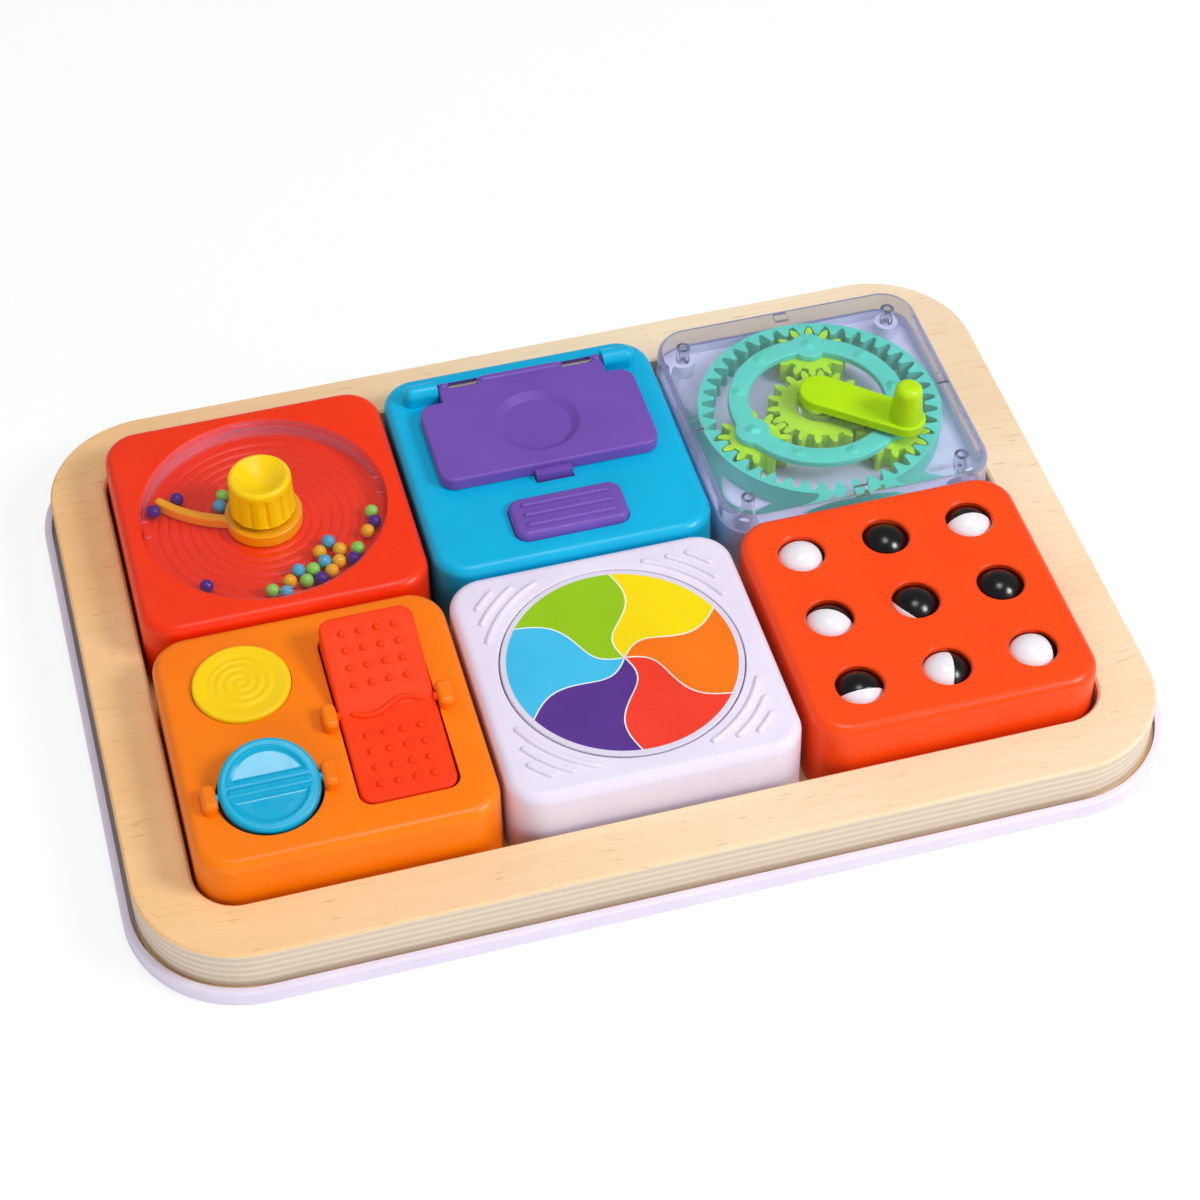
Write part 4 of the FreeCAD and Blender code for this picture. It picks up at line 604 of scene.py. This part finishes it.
DECK = high("bead_tile_shell")[2]
TILE_HALF = (high("bead_tile_shell") - low("bead_tile_shell"))[0] / 2 / MM
TILE_DROP = (DECK - low("bead_tile_shell")[2]) / MM
TILE_CORNER = 12.5
TILE_DRAFT = 1.3  # degrees
TILE_EDGE = 3.7
TILE_WALL = 2.0
SHARP = 0.01  # the least corner radius, and the half width of a ring that closes on its middle line
AXLE_RADIUS = 1.4
REST_TILT = 9.65  # degrees that the rocker leans at rest
FLIP_TILT = 16.0  # and the turning disc
BEAD_RADIUS = 2.4
BEAD_PLACES = {
    "green": ((-12.1, 12.8), (-3.9, -35.2), (11.2, -29.3), (8.1, -33.8), (27.7, -23.7), (35.9, -8.1)),
    "blue": ((-13.9, 8.2), (0.6, -37.1), (6.3, -28.5), (15.7, -26.8), (18.7, -18.1)),
    "yellow": ((2.6, -32.6), (17.2, -31.6), (14.9, -22), (21.7, -22.6), (20.4, -27.9), (32.7, -16.8)),
    "purple": ((-27.6, 15.4), (-36.4, 11.7), (-24.8, -27.4), (13, -34.1), (25.3, -28), (35.9, -13.1)),
}
PRINT_COLOURS = ("print_yellow", "print_orange", "print_red", "print_purple", "print_blue", "print_green")
# The direction of each ball's white pole
WHITE_WAYS = (
    (-0.65, -0.15, 0.74), (0.20, 0.55, -0.81), (-0.06, -0.99, 0.11),
    (-0.47, -0.85, 0.24), (-0.63, -0.38, -0.68), (0.25, 0.45, -0.86),
    (-0.02, -0.93, -0.36), (-0.96, 0.19, 0.22), (-0.76, -0.12, 0.64),
)


def placed(grid, origin, tilt=0.0):
    """Turns a shape by some degrees about the line along X through its origin, and sets it in place."""
    cosine = math.cos(math.radians(tilt))
    sine = math.sin(math.radians(tilt))
    tipped = grid @ np.array(((1, 0, 0), (0, cosine, sine), (0, -sine, cosine)))
    return tipped * MM + origin


def on_deck(node):
    """The point over a node's middle at the height of the tiles' decks."""
    spot = middle(node)
    spot[2] = DECK
    return spot


def on_top(node):
    """The middle of a node's top."""
    spot = middle(node)
    spot[2] = high(node)[2]
    return spot


def smooth_step(value, start, end):
    """0 before the start, 1 past the end, and three squares less two cubes of the share between."""
    share = np.clip((value - start) / (end - start), 0, 1)
    return share * share * (3 - 2 * share)


def ridge(line, width, rise, sink=0.3, count=24):
    """A low bar with a round back and round ends, carried along a line of points.

    Its section is half an ellipse above the line and a shallower half below it. Near an end it
    shrinks by the height of a circle there, the root of 1 less the square of the share left to go.
    """
    run = np.concatenate(([0], np.cumsum(np.linalg.norm(np.diff(line, axis=0), axis=1))))
    half = width / 2
    cap = half * (1 - np.cos(np.linspace(0, math.pi / 2, 7)))
    body = np.linspace(half, run[-1] - half, count)[1:-1]
    station = np.concatenate((cap, body, run[-1] - cap[::-1]))
    centre = np.stack([np.interp(station, run, line[:, axis]) for axis in range(3)], axis=1)
    along = np.gradient(centre, axis=0)
    side = np.cross((0, 0, 1), along / np.linalg.norm(along, axis=1, keepdims=True))
    from_end = np.minimum(np.minimum(station, run[-1] - station), half)
    swell = np.sqrt(np.clip(1 - (1 - from_end / half) ** 2, 0, 1))[:, None, None]
    around = angles(16)[:, None]
    lift = np.where(np.sin(around) > 0, rise, sink) * np.sin(around)
    return centre[:, None] + swell * (side[:, None] * np.cos(around) * half + lift * (0, 0, 1))


def dome(radius, rise, sink=0.3, rows=6, count=16):
    """A round boss: a quarter ellipse turned about its axis, on a foot that sinks into the surface."""
    slope = np.linspace(0, math.pi / 2, rows)
    profile = np.stack((radius * np.sin(slope), rise * np.cos(slope)), axis=1)
    return revolve(np.concatenate((profile, ((radius, -sink), (0, -sink)))), count)


def parted_ball(radius, slope, dip, spread, count):
    """A ball whose radius dips along its equator, by a bell curve of the latitude."""
    swell = radius - dip * np.exp(-(slope / spread) ** 2)
    return revolve(np.stack((swell * np.cos(slope), swell * np.sin(slope)), axis=1), count)


def axle_stubs(start, end):
    """Two round pins along X, one at each side of a pivot: a softened section turned about X."""
    edge = soften(((0, start), (AXLE_RADIUS, start), (AXLE_RADIUS, end), (0, end)), (0, 0.4), 4)
    pin = revolve(edge, 32)[..., (2, 0, 1)]
    return pin, pin * (-1, -1, 1)


def inset_stations(half_length, half_width, corner, section):
    """Stations of a rectangle with round corners, moved inwards by a section's inset at each height."""
    inset, height = np.asarray(section, float).T
    rounding = np.maximum(corner - inset, SHARP)
    return np.stack((half_length - inset, half_width - inset, rounding, height), axis=1)


def round_stations(profile):
    """Stations of circles, from a profile of radius and height."""
    radius, height = np.asarray(profile, float).T
    return np.stack((radius, radius, radius, height), axis=1)


def tile_stations(well, reach, under):
    """A tile's upper half, from its lower rim up the outside, through a well and back inside.

    The outside is a wall with draft, a soft edge and the deck; the well is a profile of radius and
    height; the underside runs from the reach given, at its depth, out to the wall and down.
    """
    inset = TILE_DROP * math.tan(math.radians(TILE_DRAFT))
    outside = soften(((0, -TILE_DROP), (inset, 0), (inset + 2 * TILE_EDGE, 0)), (TILE_EDGE,), 8)[:-1]
    inside = ((TILE_WALL, -under), (TILE_WALL, -TILE_DROP))
    return np.concatenate((
        inset_stations(TILE_HALF, TILE_HALF, TILE_CORNER, outside),
        round_stations(well), round_stations(((reach, -under),)),
        inset_stations(TILE_HALF, TILE_HALF, TILE_CORNER, inside),
    ))


def bead_housing():
    """The bead tile's upper half: a round chamber whose floor is rippled like water.

    The floor sinks by the cube of half of 1 less the cosine of the distance from the hub, counted
    in waves. The ripple fades out at the hub and before the wall.
    """
    radius, floor_reach, hub, bore = 42.5, 40, 13.6, 1.56
    wave, ripple, floor_thick = 3.55, 0.5, 1.8
    depth = (DECK - low("bead_window")[2]) / MM
    rim = soften(((radius + 1.2, 0), (radius, 0), (radius, -depth), (floor_reach, -depth)), (0.5, 0.4))
    out = np.linspace(floor_reach, hub, 200)
    fade = smooth_step(out, hub, 15.5) * (1 - smooth_step(out, 37.5, 39))
    floor = -depth - ripple * fade * (0.5 - 0.5 * np.cos(TURN * (out - hub) / wave)) ** 3
    hole = ((bore, -depth), (bore, -depth - floor_thick))
    well = np.concatenate((rim, np.stack((out, floor), axis=1), hole))
    grid = carry(tile_stations(well, 30, depth + floor_thick), 256)
    surface = Surface().add(placed(grid, on_deck("bead_tile_shell")), True, True)
    add_piece("bead_housing", surface, "bead_tile", "red_plastic", ("bead_tile_shell",))


def spinner_housing():
    """The spinner tile's upper half: a round recess for the disc and curved ribs in the corners.

    A rib follows an arc about the tile's middle, to where its outer side meets the rib limit.
    """
    radius = (high("colour_disc") - low("colour_disc"))[0] / 2 / MM + 0.45
    recess, stem, floor_thick = 3.4, 4.06, 2.2
    first_rib, rib_step, rib_width, rib_rise, rib_limit = 44.5, 4.1, 2.2, 1.1, 41.5
    under = recess + floor_thick
    well = soften(((radius + 2.5, 0), (radius, 0), (radius, -recess), (stem, -recess), (stem, -under)),
                  (0.45, 0.4, 0))
    origin = on_deck("spinner_tile_shell")
    surface = Surface().add(placed(carry(tile_stations(well, 35, under), 256), origin), True, True)
    for corner in range(4):
        for number in range(3):
            reach = first_rib + rib_step * number
            half = math.pi / 4 - math.acos(rib_limit / (reach + 0.9))
            swing = np.linspace(-half, half, 40) + math.pi / 4 + corner * math.pi / 2
            line = around_axis(reach, swing, 0.0)
            surface.add(placed(ridge(line, rib_width, rib_rise), origin), loop_columns=True)
    add_piece("spinner_housing", surface, "spinner_tile", "lilac_plastic", ("spinner_tile_shell",))


def dished_knob():
    """The sweeper's knob: a cone with a thick soft rim round a dish, and grooves down its wall.

    The profile is turned about the axis. The dish is a power of a cosine. Below the rim the wall is
    drawn in at each groove by a narrow bell curve and a broad cosine of the distance from it.
    """
    origin = on_top("sweeper_knob")
    tall, grooves, samples, radius = 14.8, 12, 32, 11
    dish_reach, dish_depth, stem, bore = 8.9, 3.3, 5.0, 1.5
    stem_end = (low("sweeper_knob")[2] - origin[2]) / MM
    dish = np.linspace(0, dish_reach, 28)
    bowl = np.stack((dish, -dish_depth * np.cos(dish / dish_reach * math.pi / 2) ** 1.25 - 0.1), axis=1)
    rim = ((8.4, -0.1), (9.2, 0.15), (10.6, 0), (10.75, -1.5), (11.4, -tall))
    wall = np.linspace((10.8, -2.3), (11.4, -tall), 40)
    foot = ((11.0, -tall - 0.15), (stem, -tall - 0.15), (stem, stem_end), (bore, stem_end),
            (bore, stem_end + 9), (0, stem_end + 9))
    profile = np.concatenate((bowl[:-2], soften(rim, (0.6, 1.5, 1.0), 8)[1:-1], wall, foot))
    count = grooves * samples
    grid = revolve(profile, count)
    off_groove = np.abs((angles(count) * grooves / TURN + 0.5) % 1 - 0.5) * TURN / grooves * radius
    start = 2.6 + 0.5 * np.clip(off_groove - 1.0, 0, 1) ** 2
    fade = smooth_step(-profile[:, 1, None], start, start + 1.6) * (profile[:, 1] >= -tall)[:, None]
    narrow = 0.8 * np.exp(-(off_groove / 0.5) ** 2)
    broad = 0.3 * np.cos(np.clip(off_groove / 2.9, 0, 1) * math.pi / 2)
    grid[..., :2] *= 1 - (fade * (narrow + broad) / radius)[..., None]
    surface = Surface().add(placed(grid, origin), loop_columns=True)
    add_piece("dished_knob", surface, "sweeper", "yellow_plastic", ("sweeper_knob",))


def smooth_beads(colour):
    """The loose beads of one colour, each with its parting line turned another way."""
    node = "beads_" + colour
    spot = middle("bead_window")
    spot[2] = middle(node)[2]
    ball = parted_ball(BEAD_RADIUS, np.linspace(-math.pi / 2, math.pi / 2, 25), 0.04, 0.06, 32)
    surface = Surface()
    for number, (side, back) in enumerate(BEAD_PLACES[colour]):
        surface.add(placed(ball, spot + np.array((side, back, 0)) * MM, 37.0 * number), loop_columns=True)
    add_piece("loose_" + node, surface, "sweeper", "bead_" + colour, (node,))


def spiral_button():
    """The round push button: a shallow dish with a spiral in it, on its flange and stub.

    The profile is turned about the axis. The spiral is a cosine of the distance from the middle,
    counted in waves, less the direction: it moves out by one wave in a turn.
    """
    origin = on_deck("push_button")
    radius, rise, wall_end, flange_end, stub, stub_end = 16.1, 1.5, -2.5, -3.9, 3.9, -5.3
    dish_reach, wave, relief, count = 12.2, 3.1, 0.28, 240
    out = np.linspace(0, dish_reach, 90)
    dish = rise - 0.55 * (1 - smooth_step(out, 10.5, 14.5))
    edge = ((dish_reach, 1.27), (14.6, rise), (radius, rise), (radius, wall_end))
    foot = ((radius + 1.5, wall_end), (radius + 1.5, flange_end), (stub, flange_end),
            (stub, stub_end), (0, stub_end))
    profile = np.concatenate((np.stack((out, dish), axis=1), soften(edge, (3, 1.0), 8)[1:], foot))
    grid = revolve(profile, count)
    crest = 0.5 + 0.5 * np.cos(TURN * out[:, None] / wave - angles(count))
    before_edge = (1 - smooth_step(out, 9.6, 11.2))[:, None]
    past_middle = smooth_step(out, 0, 1)[:, None]
    grid[:len(out), :, 2] += relief * crest * before_edge * past_middle
    surface = Surface().add(placed(grid, origin), loop_columns=True)
    add_piece("spiral_button", surface, "push_button", "yellow_plastic", ("push_button",))


def dotted_rocker():
    """The rocker: two gently sloping halves with rows of dots and a waved rib between them.

    Rings of a rectangle with round corners follow a softened section, and rise with the distance
    from the axle. The rib's line is one sine wave across the rocker.
    """
    origin = joint_place("rocker_rock")
    half_width, half_length, corner, skirt, crown, under = 15.65, 35.0, 4.5, 9.5, -0.1, -1.4
    slope = math.tan(math.radians(5.35))
    core = half_width - SHARP
    outside = soften(((half_width, crown), (0, crown), (0, -skirt)), (1.1,), 8)
    inside = ((2, -skirt), (2, under), (core, under))
    section = np.concatenate((np.linspace((core, crown), outside[1], 6), outside[2:], inside))
    grid = carry(inset_stations(half_width, half_length, corner, section), 320)
    grid[[0, -1], :, 0] = 0  # the first and last ring close onto the middle line
    sloping = len(section) - 4  # all but the skirt's foot and the inside
    grid[:sloping, :, 2] += np.abs(grid[:sloping, :, 1]) * slope
    shapes = [grid]
    boss = dome(1.25, 1.0)
    for side in (-8.7, -2.9, 2.9, 8.7):
        for back in (9.7, 15.97, 22.24, 28.51):
            for way in (-1, 1):
                shapes.append(boss + (side, back * way, crown + back * slope))
    rib_reach, rib_swing = 12, 2.2
    across = np.linspace(-rib_reach, rib_reach, 80)
    waved = rib_swing * np.sin(math.pi * across / rib_reach)
    line = np.stack((across, waved, crown + np.abs(waved) * slope), axis=1)
    shapes.append(ridge(line, 2.0, 1.15, count=60))
    surface = Surface()
    for shape in (*shapes, *axle_stubs(15.2, 19.9)):
        surface.add(placed(shape, origin, REST_TILT), loop_columns=True)
    add_piece("dotted_rocker", surface, "rocker", "red_orange_plastic", ("rocker",), ("rocker_red",))


def turning_disc():
    """The flip disc: a thick rim, a fold along the axle and a sunk half moon on each side of it.

    How far a point lies outside a moon is the larger of its distances past the round edge and past
    the straight one. The relief steps down smoothly by that, with a bell curve for a lip, and has
    one more bell curve along the axle. The face rises with the distance from the axle.
    """
    origin = joint_place("flip_disc_spin")
    radius, flat_reach, thick, rise, count = 16.1, 14.4, 2.3, 1.0, 320
    moon_reach, moon_gap, moon_depth, lip, fold = 12.6, 3.0, 0.5, 0.3, 0.75
    flat = np.linspace((0, 0), (flat_reach, 0), 110)
    edge = soften(((flat_reach, 0), (radius, 0), (radius, -4)), (1.3,), 8)[1:-1]
    face = revolve(np.concatenate((flat, edge)), count)
    along = np.abs(face[..., 0])
    far = np.abs(face[..., 1])
    moon = np.maximum(np.hypot(along, far) - moon_reach, moon_gap - far)
    relief = -moon_depth * smooth_step(-moon, -0.35, 0.45) + lip * np.exp(-(moon / 0.6) ** 2)
    relief += fold * np.exp(-(far / 0.65) ** 2) * (1 - smooth_step(along, moon_reach, moon_reach + 1))
    face[..., 2] += thick + rise * far / radius + relief
    under = face * (1, -1, -1)
    rim = np.stack((face[-1], under[-1][(-np.arange(count)) % count]))
    polished = (moon[:-1] < -0.3).astype(int).ravel()
    surface = Surface()
    for side in (face, under):
        surface.add(placed(side, origin, FLIP_TILT), loop_columns=True, finish=polished)
    for shape in (rim, *axle_stubs(15.6, 20.3)):
        surface.add(placed(shape, origin, FLIP_TILT), loop_columns=True)
    add_piece("turning_disc", surface, "flip_disc", "turquoise_plastic", ("flip_disc",),
              ("turquoise_plastic", "turquoise_gloss"))


def pinwheel_print():
    """The film on the spinner: six sectors between S-shaped lines that meet a little off the middle.

    A line runs outwards and bends aside by one sine hump, and then by a second one the other way. A
    sector fills the angle between two lines, less half a line's width at each side, and the centre
    shifts to the hub by what is left of the way to the rim.
    """
    origin = middle("disc_print")
    thick = (high("disc_print") - low("disc_print"))[2] / MM / 2
    radius, line_width, steps = 37.9, 0.5, 24
    turning_point, first_bend, second_bend = 15.7, 3.0, 3.9
    hub = np.array((1.0, 0.8))
    rim_angles = np.radians((81, 21.5, -37, -96, -154, -216))
    share = np.concatenate(([0], np.linspace(0.02, 1, 64)))
    along = share * radius
    past = along - turning_point
    bend = np.where(past < 0, first_bend * np.sin(math.pi * along / turning_point),
                    -second_bend * np.sin(math.pi * past / (radius - turning_point)))
    lean = np.arctan2(bend, along)[:, None]
    reach = np.hypot(along, bend)
    surface = Surface()
    rim = []
    for number, start in enumerate(rim_angles, start=1):
        end = rim_angles[number % 6] - (TURN if number == 6 else 0)
        trim = np.arcsin(np.clip(line_width / 2 / np.maximum(reach, TINY), 0, 1))
        trim = np.minimum(trim, (start - end) / 2 * 0.9)[:, None]
        sector = start - trim - (start - end - 2 * trim) * np.linspace(0, 1, steps) + lean
        border = end + trim - 2 * trim * np.linspace(0, 1, 3) + lean
        for finish, turned in ((number, sector), (0, border)):
            grid = around_axis(reach[:, None], turned, thick)
            grid[..., :2] += (hub * (1 - share)[:, None])[:, None]
            surface.add(placed(grid, origin), finish=finish)
            rim.append(grid[-1])
    edge = np.concatenate(rim)
    back = np.broadcast_to((0, 0, -thick), edge.shape)
    surface.add(placed(np.stack((edge, edge * (1, 1, -1), back)), origin), loop_columns=True)
    add_piece("pinwheel_print", surface, "spinner", "disc_film", ("disc_print",),
              ("print_white", *PRINT_COLOURS), crease=60)


def two_tone_ball(number, white_way):
    """A ball of two halves, one white and one black, with a fine groove where they meet."""
    node = "ball_%d" % number
    radius = (high(node) - low(node))[2] / 2 / MM
    pole = np.array(white_way, float)
    pole /= np.linalg.norm(pole)
    side = np.cross(pole, (0.3, 0.4, 0.87))
    side /= np.linalg.norm(side)
    turn = np.stack((side, np.cross(pole, side), pole))
    degrees = np.concatenate((np.linspace(-90, -2, 40), (-1, -0.4, 0, 0.4, 1), np.linspace(2, 90, 40)))
    count = 96
    grid = parted_ball(radius, np.radians(degrees), 0.1, 0.012, count) @ turn
    rows = len(degrees) - 1
    finish = np.repeat((np.arange(rows) < rows // 2).astype(int), count)
    surface = Surface().add(placed(grid, middle(node)), loop_columns=True, finish=finish)
    add_piece("two_tone_" + node, surface, node, "ball_plastic", (node,), ("ball_plastic", "ball_black"))


def lobed_carrier():
    """The carrier: a soft-edged ring with a round lobe over each planet, and low bosses along it.

    In each direction the ring's two edges are the circles of the ring, or where a lobe's circle
    reaches farther, the two crossings with it. A boss is the square of a cosine.
    """
    origin = on_top("planet_carrier")
    reach = np.linalg.norm(joint_place("planet_1_spin")[:2] - joint_place("carrier_spin")[:2]) / MM
    outer, inner, lobe, thick, soft = reach + 3.6, reach - 3.8, 6.2, 2.4, 0.55
    first_lobe, bosses, boss_radius = 78, 9, 3.4
    around = angles(480)
    off = np.abs((around - math.radians(first_lobe) + TURN / 6) % (TURN / 3) - TURN / 6)
    spread = np.sqrt(np.maximum(lobe ** 2 - (reach * np.sin(off)) ** 2, 0))
    near = reach * np.sin(off) < lobe
    outside = np.where(near, np.maximum(outer, reach * np.cos(off) + spread), outer)
    inside = np.where(near, np.minimum(inner, reach * np.cos(off) - spread), inner)
    arc = np.linspace(0, math.pi / 2, 7)
    profile = np.concatenate((
        np.stack((np.ones(7), -soft * (1 - np.sin(arc)), -soft * (1 - np.cos(arc))), axis=1),
        ((1, 0, -thick), (0, 0, -thick)),
        np.stack((np.zeros(7), soft * (1 - np.cos(arc)), -soft * (1 - np.sin(arc))), axis=1),
    ))
    share, shift, height = profile.T[..., None]
    ring = around_axis(inside + (outside - inside) * share + shift, around, height)
    surface = Surface().add(placed(ring, origin), True, True)
    out = np.linspace(0, boss_radius, 14)
    swelling = np.stack((out, 0.95 * np.cos(out / boss_radius * math.pi / 2) ** 2 - 0.03), axis=1)
    boss = revolve(np.concatenate((swelling, ((boss_radius, -0.4), (0, -0.4)))), 32)
    pin_low = (low("planet_carrier")[2] - origin[2]) / MM
    pin = revolve(soften(((0, pin_low), (3, pin_low), (3, -thick / 2), (0, -thick / 2)), (0.4, 0), 4), 40)
    for number in range(bosses):
        angle = math.radians(first_lobe + 360 // bosses * number)
        spot = reach * np.array((math.cos(angle), math.sin(angle), 0))
        surface.add(placed(boss + spot, origin), loop_columns=True)
        if number % 3 == 0:
            surface.add(placed(pin + spot, origin), loop_columns=True)
    add_piece("lobed_carrier", surface, "carrier", "teal_plastic", ("planet_carrier",))


def lid_back():
    """Three raised bars with round backs along the lid's hinge: between its slots and beside them."""
    origin = joint_place("flap_hinge")
    origin[2] = high("flap_lid")[2]
    surface = Surface()
    for start, end in ((-29.6, -26.5), (-14.9, 14.9), (26.5, 29.6)):
        line = np.linspace((start, 0, 0), (end, 0, 0), 30)
        surface.add(placed(ridge(line, 3.0, 0.9), origin), loop_columns=True)
    add_piece("lid_back", surface, "flap", "purple_plastic")


def ribbed_latch():
    """The latch: a soft-edged key with three thin ribs, over its flange, stub and catch.

    Rings of a rectangle with round corners follow a softened section down to the flange.
    """
    half_length, half_depth, corner, rise, flange = 20.0, 9.15, 4.5, 3.0, 1.6
    key_end, flange_end, stub_end = -2.5, -4.0, -5.5
    origin = on_deck("latch_button")
    origin[1] = low("latch_button")[1] + (half_depth + flange) * MM
    core = half_depth - SHARP
    side = soften(((half_depth, rise), (0, rise), (0, key_end)), (2.0,), 8)
    section = np.concatenate((
        ((core, rise),), side[1:], ((-flange, key_end), (-flange, flange_end), (core, flange_end)),
    ))
    key = carry(inset_stations(half_length, half_depth, corner, section), 320)
    key[[0, -1], :, 1] = 0  # the first and last ring close onto the middle line
    ribs = [ridge(np.linspace((-15.7, back, rise), (15.7, back, rise), 40), 2.0, 0.95)
            for back in (-4.7, 0, 4.7)]
    catch_end = (high("latch_button")[1] - origin[1]) / MM
    outline = ((-5, 7), (5, 7), (5, catch_end), (-5, catch_end))
    block = np.array([[(*corner_point, height) for corner_point in outline] for height in (key_end, -4.1)])
    caps = block.mean(axis=1, keepdims=True).repeat(4, axis=1)
    catch = np.concatenate((caps[:1], block, caps[1:]))
    stub = soften(((0, flange_end), (3.9, flange_end), (3.9, stub_end), (0, stub_end)), (0, 0.3), 4)
    surface = Surface()
    for shape in (key, *ribs, catch, revolve(stub, 40)):
        surface.add(placed(shape, origin), loop_columns=True)
    add_piece("ribbed_latch", surface, "latch", "purple_plastic", ("latch_button",))


bead_housing()
dished_knob()
for colour in BEAD_PLACES:
    smooth_beads(colour)
lid_back()
ribbed_latch()
lobed_carrier()
spiral_button()
turning_disc()
dotted_rocker()
spinner_housing()
pinwheel_print()
for number, white_way in enumerate(WHITE_WAYS, start=1):
    two_tone_ball(number, white_way)


# Floor, lights and camera

def add_stage():
    """A pale floor that reads as white, keeps the board's shadow and shows in gloss."""
    material, tree, shader = new_material("studio_floor")
    place = object_place(tree)
    tone = mix(tree, noise(tree, place, 3.0), linear(250, 250, 251), linear(246, 246, 248))
    tree.links.new(tone, shader.inputs["Base Color"])
    shader.inputs["Roughness"].default_value = 0.8
    ray = add_node(tree, "LightPath").outputs
    seen = arithmetic(tree, "MAXIMUM", ray["Is Camera Ray"], ray["Is Transmission Ray"])
    glow = add_node(tree, "Emission", {"Color": WHITE, "Strength": 1.06}).outputs[0]
    lift = arithmetic(tree, "MULTIPLY", seen, 0.72)
    finish_with(tree, blend_shaders(tree, lift, shader.outputs[0], glow))
    mesh = bpy.data.meshes.new("studio_floor")
    reach = 6.0
    corners = [(-reach, -reach, 0), (reach, -reach, 0), (reach, reach, 0), (-reach, reach, 0)]
    mesh.from_pydata(corners, [], [(0, 1, 2, 3)])
    mesh.materials.append(material)
    floor = bpy.data.objects.new("studio_floor", mesh)
    floor.location.z = -0.2 * MM  # just below the tray, so that the two never share a plane
    bpy.context.scene.collection.objects.link(floor)


def add_world(strength, in_gloss):
    """A white room all round: the camera sees it as plain white, gloss sees it dimmed."""
    world = bpy.data.worlds.new("studio")
    world.use_nodes = True
    tree = world.node_tree
    background = tree.nodes["Background"]
    background.inputs["Color"].default_value = WHITE
    ray = add_node(tree, "LightPath").outputs
    extra = arithmetic(tree, "MULTIPLY", ray["Is Camera Ray"], 1.0 - strength)
    dimmed = arithmetic(tree, "MULTIPLY", ray["Is Glossy Ray"], in_gloss - strength)
    total = arithmetic(tree, "ADD", arithmetic(tree, "ADD", extra, dimmed), strength)
    tree.links.new(total, background.inputs["Strength"])
    bpy.context.scene.world = world


LAMP_AIM = (0, 0, 0.02)


def add_lamp(name, place, size, power, in_gloss=True):
    """A round softbox aimed at the board; a fill lamp is kept out of the reflections."""
    data = bpy.data.lights.new(name, "AREA")
    data.shape = "DISK"
    data.size = size
    data.energy = power
    lamp = bpy.data.objects.new(name, data)
    lamp.location = place
    lamp.rotation_euler = (Vector(LAMP_AIM) - Vector(place)).to_track_quat("-Z", "Y").to_euler()
    lamp.visible_glossy = in_gloss
    bpy.context.scene.collection.objects.link(lamp)


def add_camera():
    """The photograph's camera: its place, its three directions and its lens."""
    data = bpy.data.cameras.new("camera")
    data.sensor_width = 36  # mm, as is the lens
    data.lens = 84.222
    camera = bpy.data.objects.new("camera", data)
    right = (0.963572, -0.267448, 0.0)
    up = (0.198940, 0.716770, 0.668329)
    back = (-0.178748, -0.643982, 0.743866)
    turn = Matrix((right, up, back)).transposed().to_4x4()
    camera.matrix_world = Matrix.Translation((-0.1675, -0.6216, 0.7282)) @ turn
    bpy.context.scene.collection.objects.link(camera)
    bpy.context.scene.camera = camera


add_stage()
add_world(0.32, 0.26)
add_lamp("key_softbox", (0.75, -0.5, 0.85), 0.4, 7.6)
add_lamp("top_softbox", (0.1, -0.03, 1.24), 0.44, 3.6)
add_lamp("back_softbox", (-0.5, 0.9, 0.9), 0.8, 1.6, in_gloss=False)
add_lamp("front_softbox", (-0.45, -1.2, 0.5), 1.0, 4.6, in_gloss=False)
add_camera()
bpy.context.scene.view_settings.view_transform = "Standard"
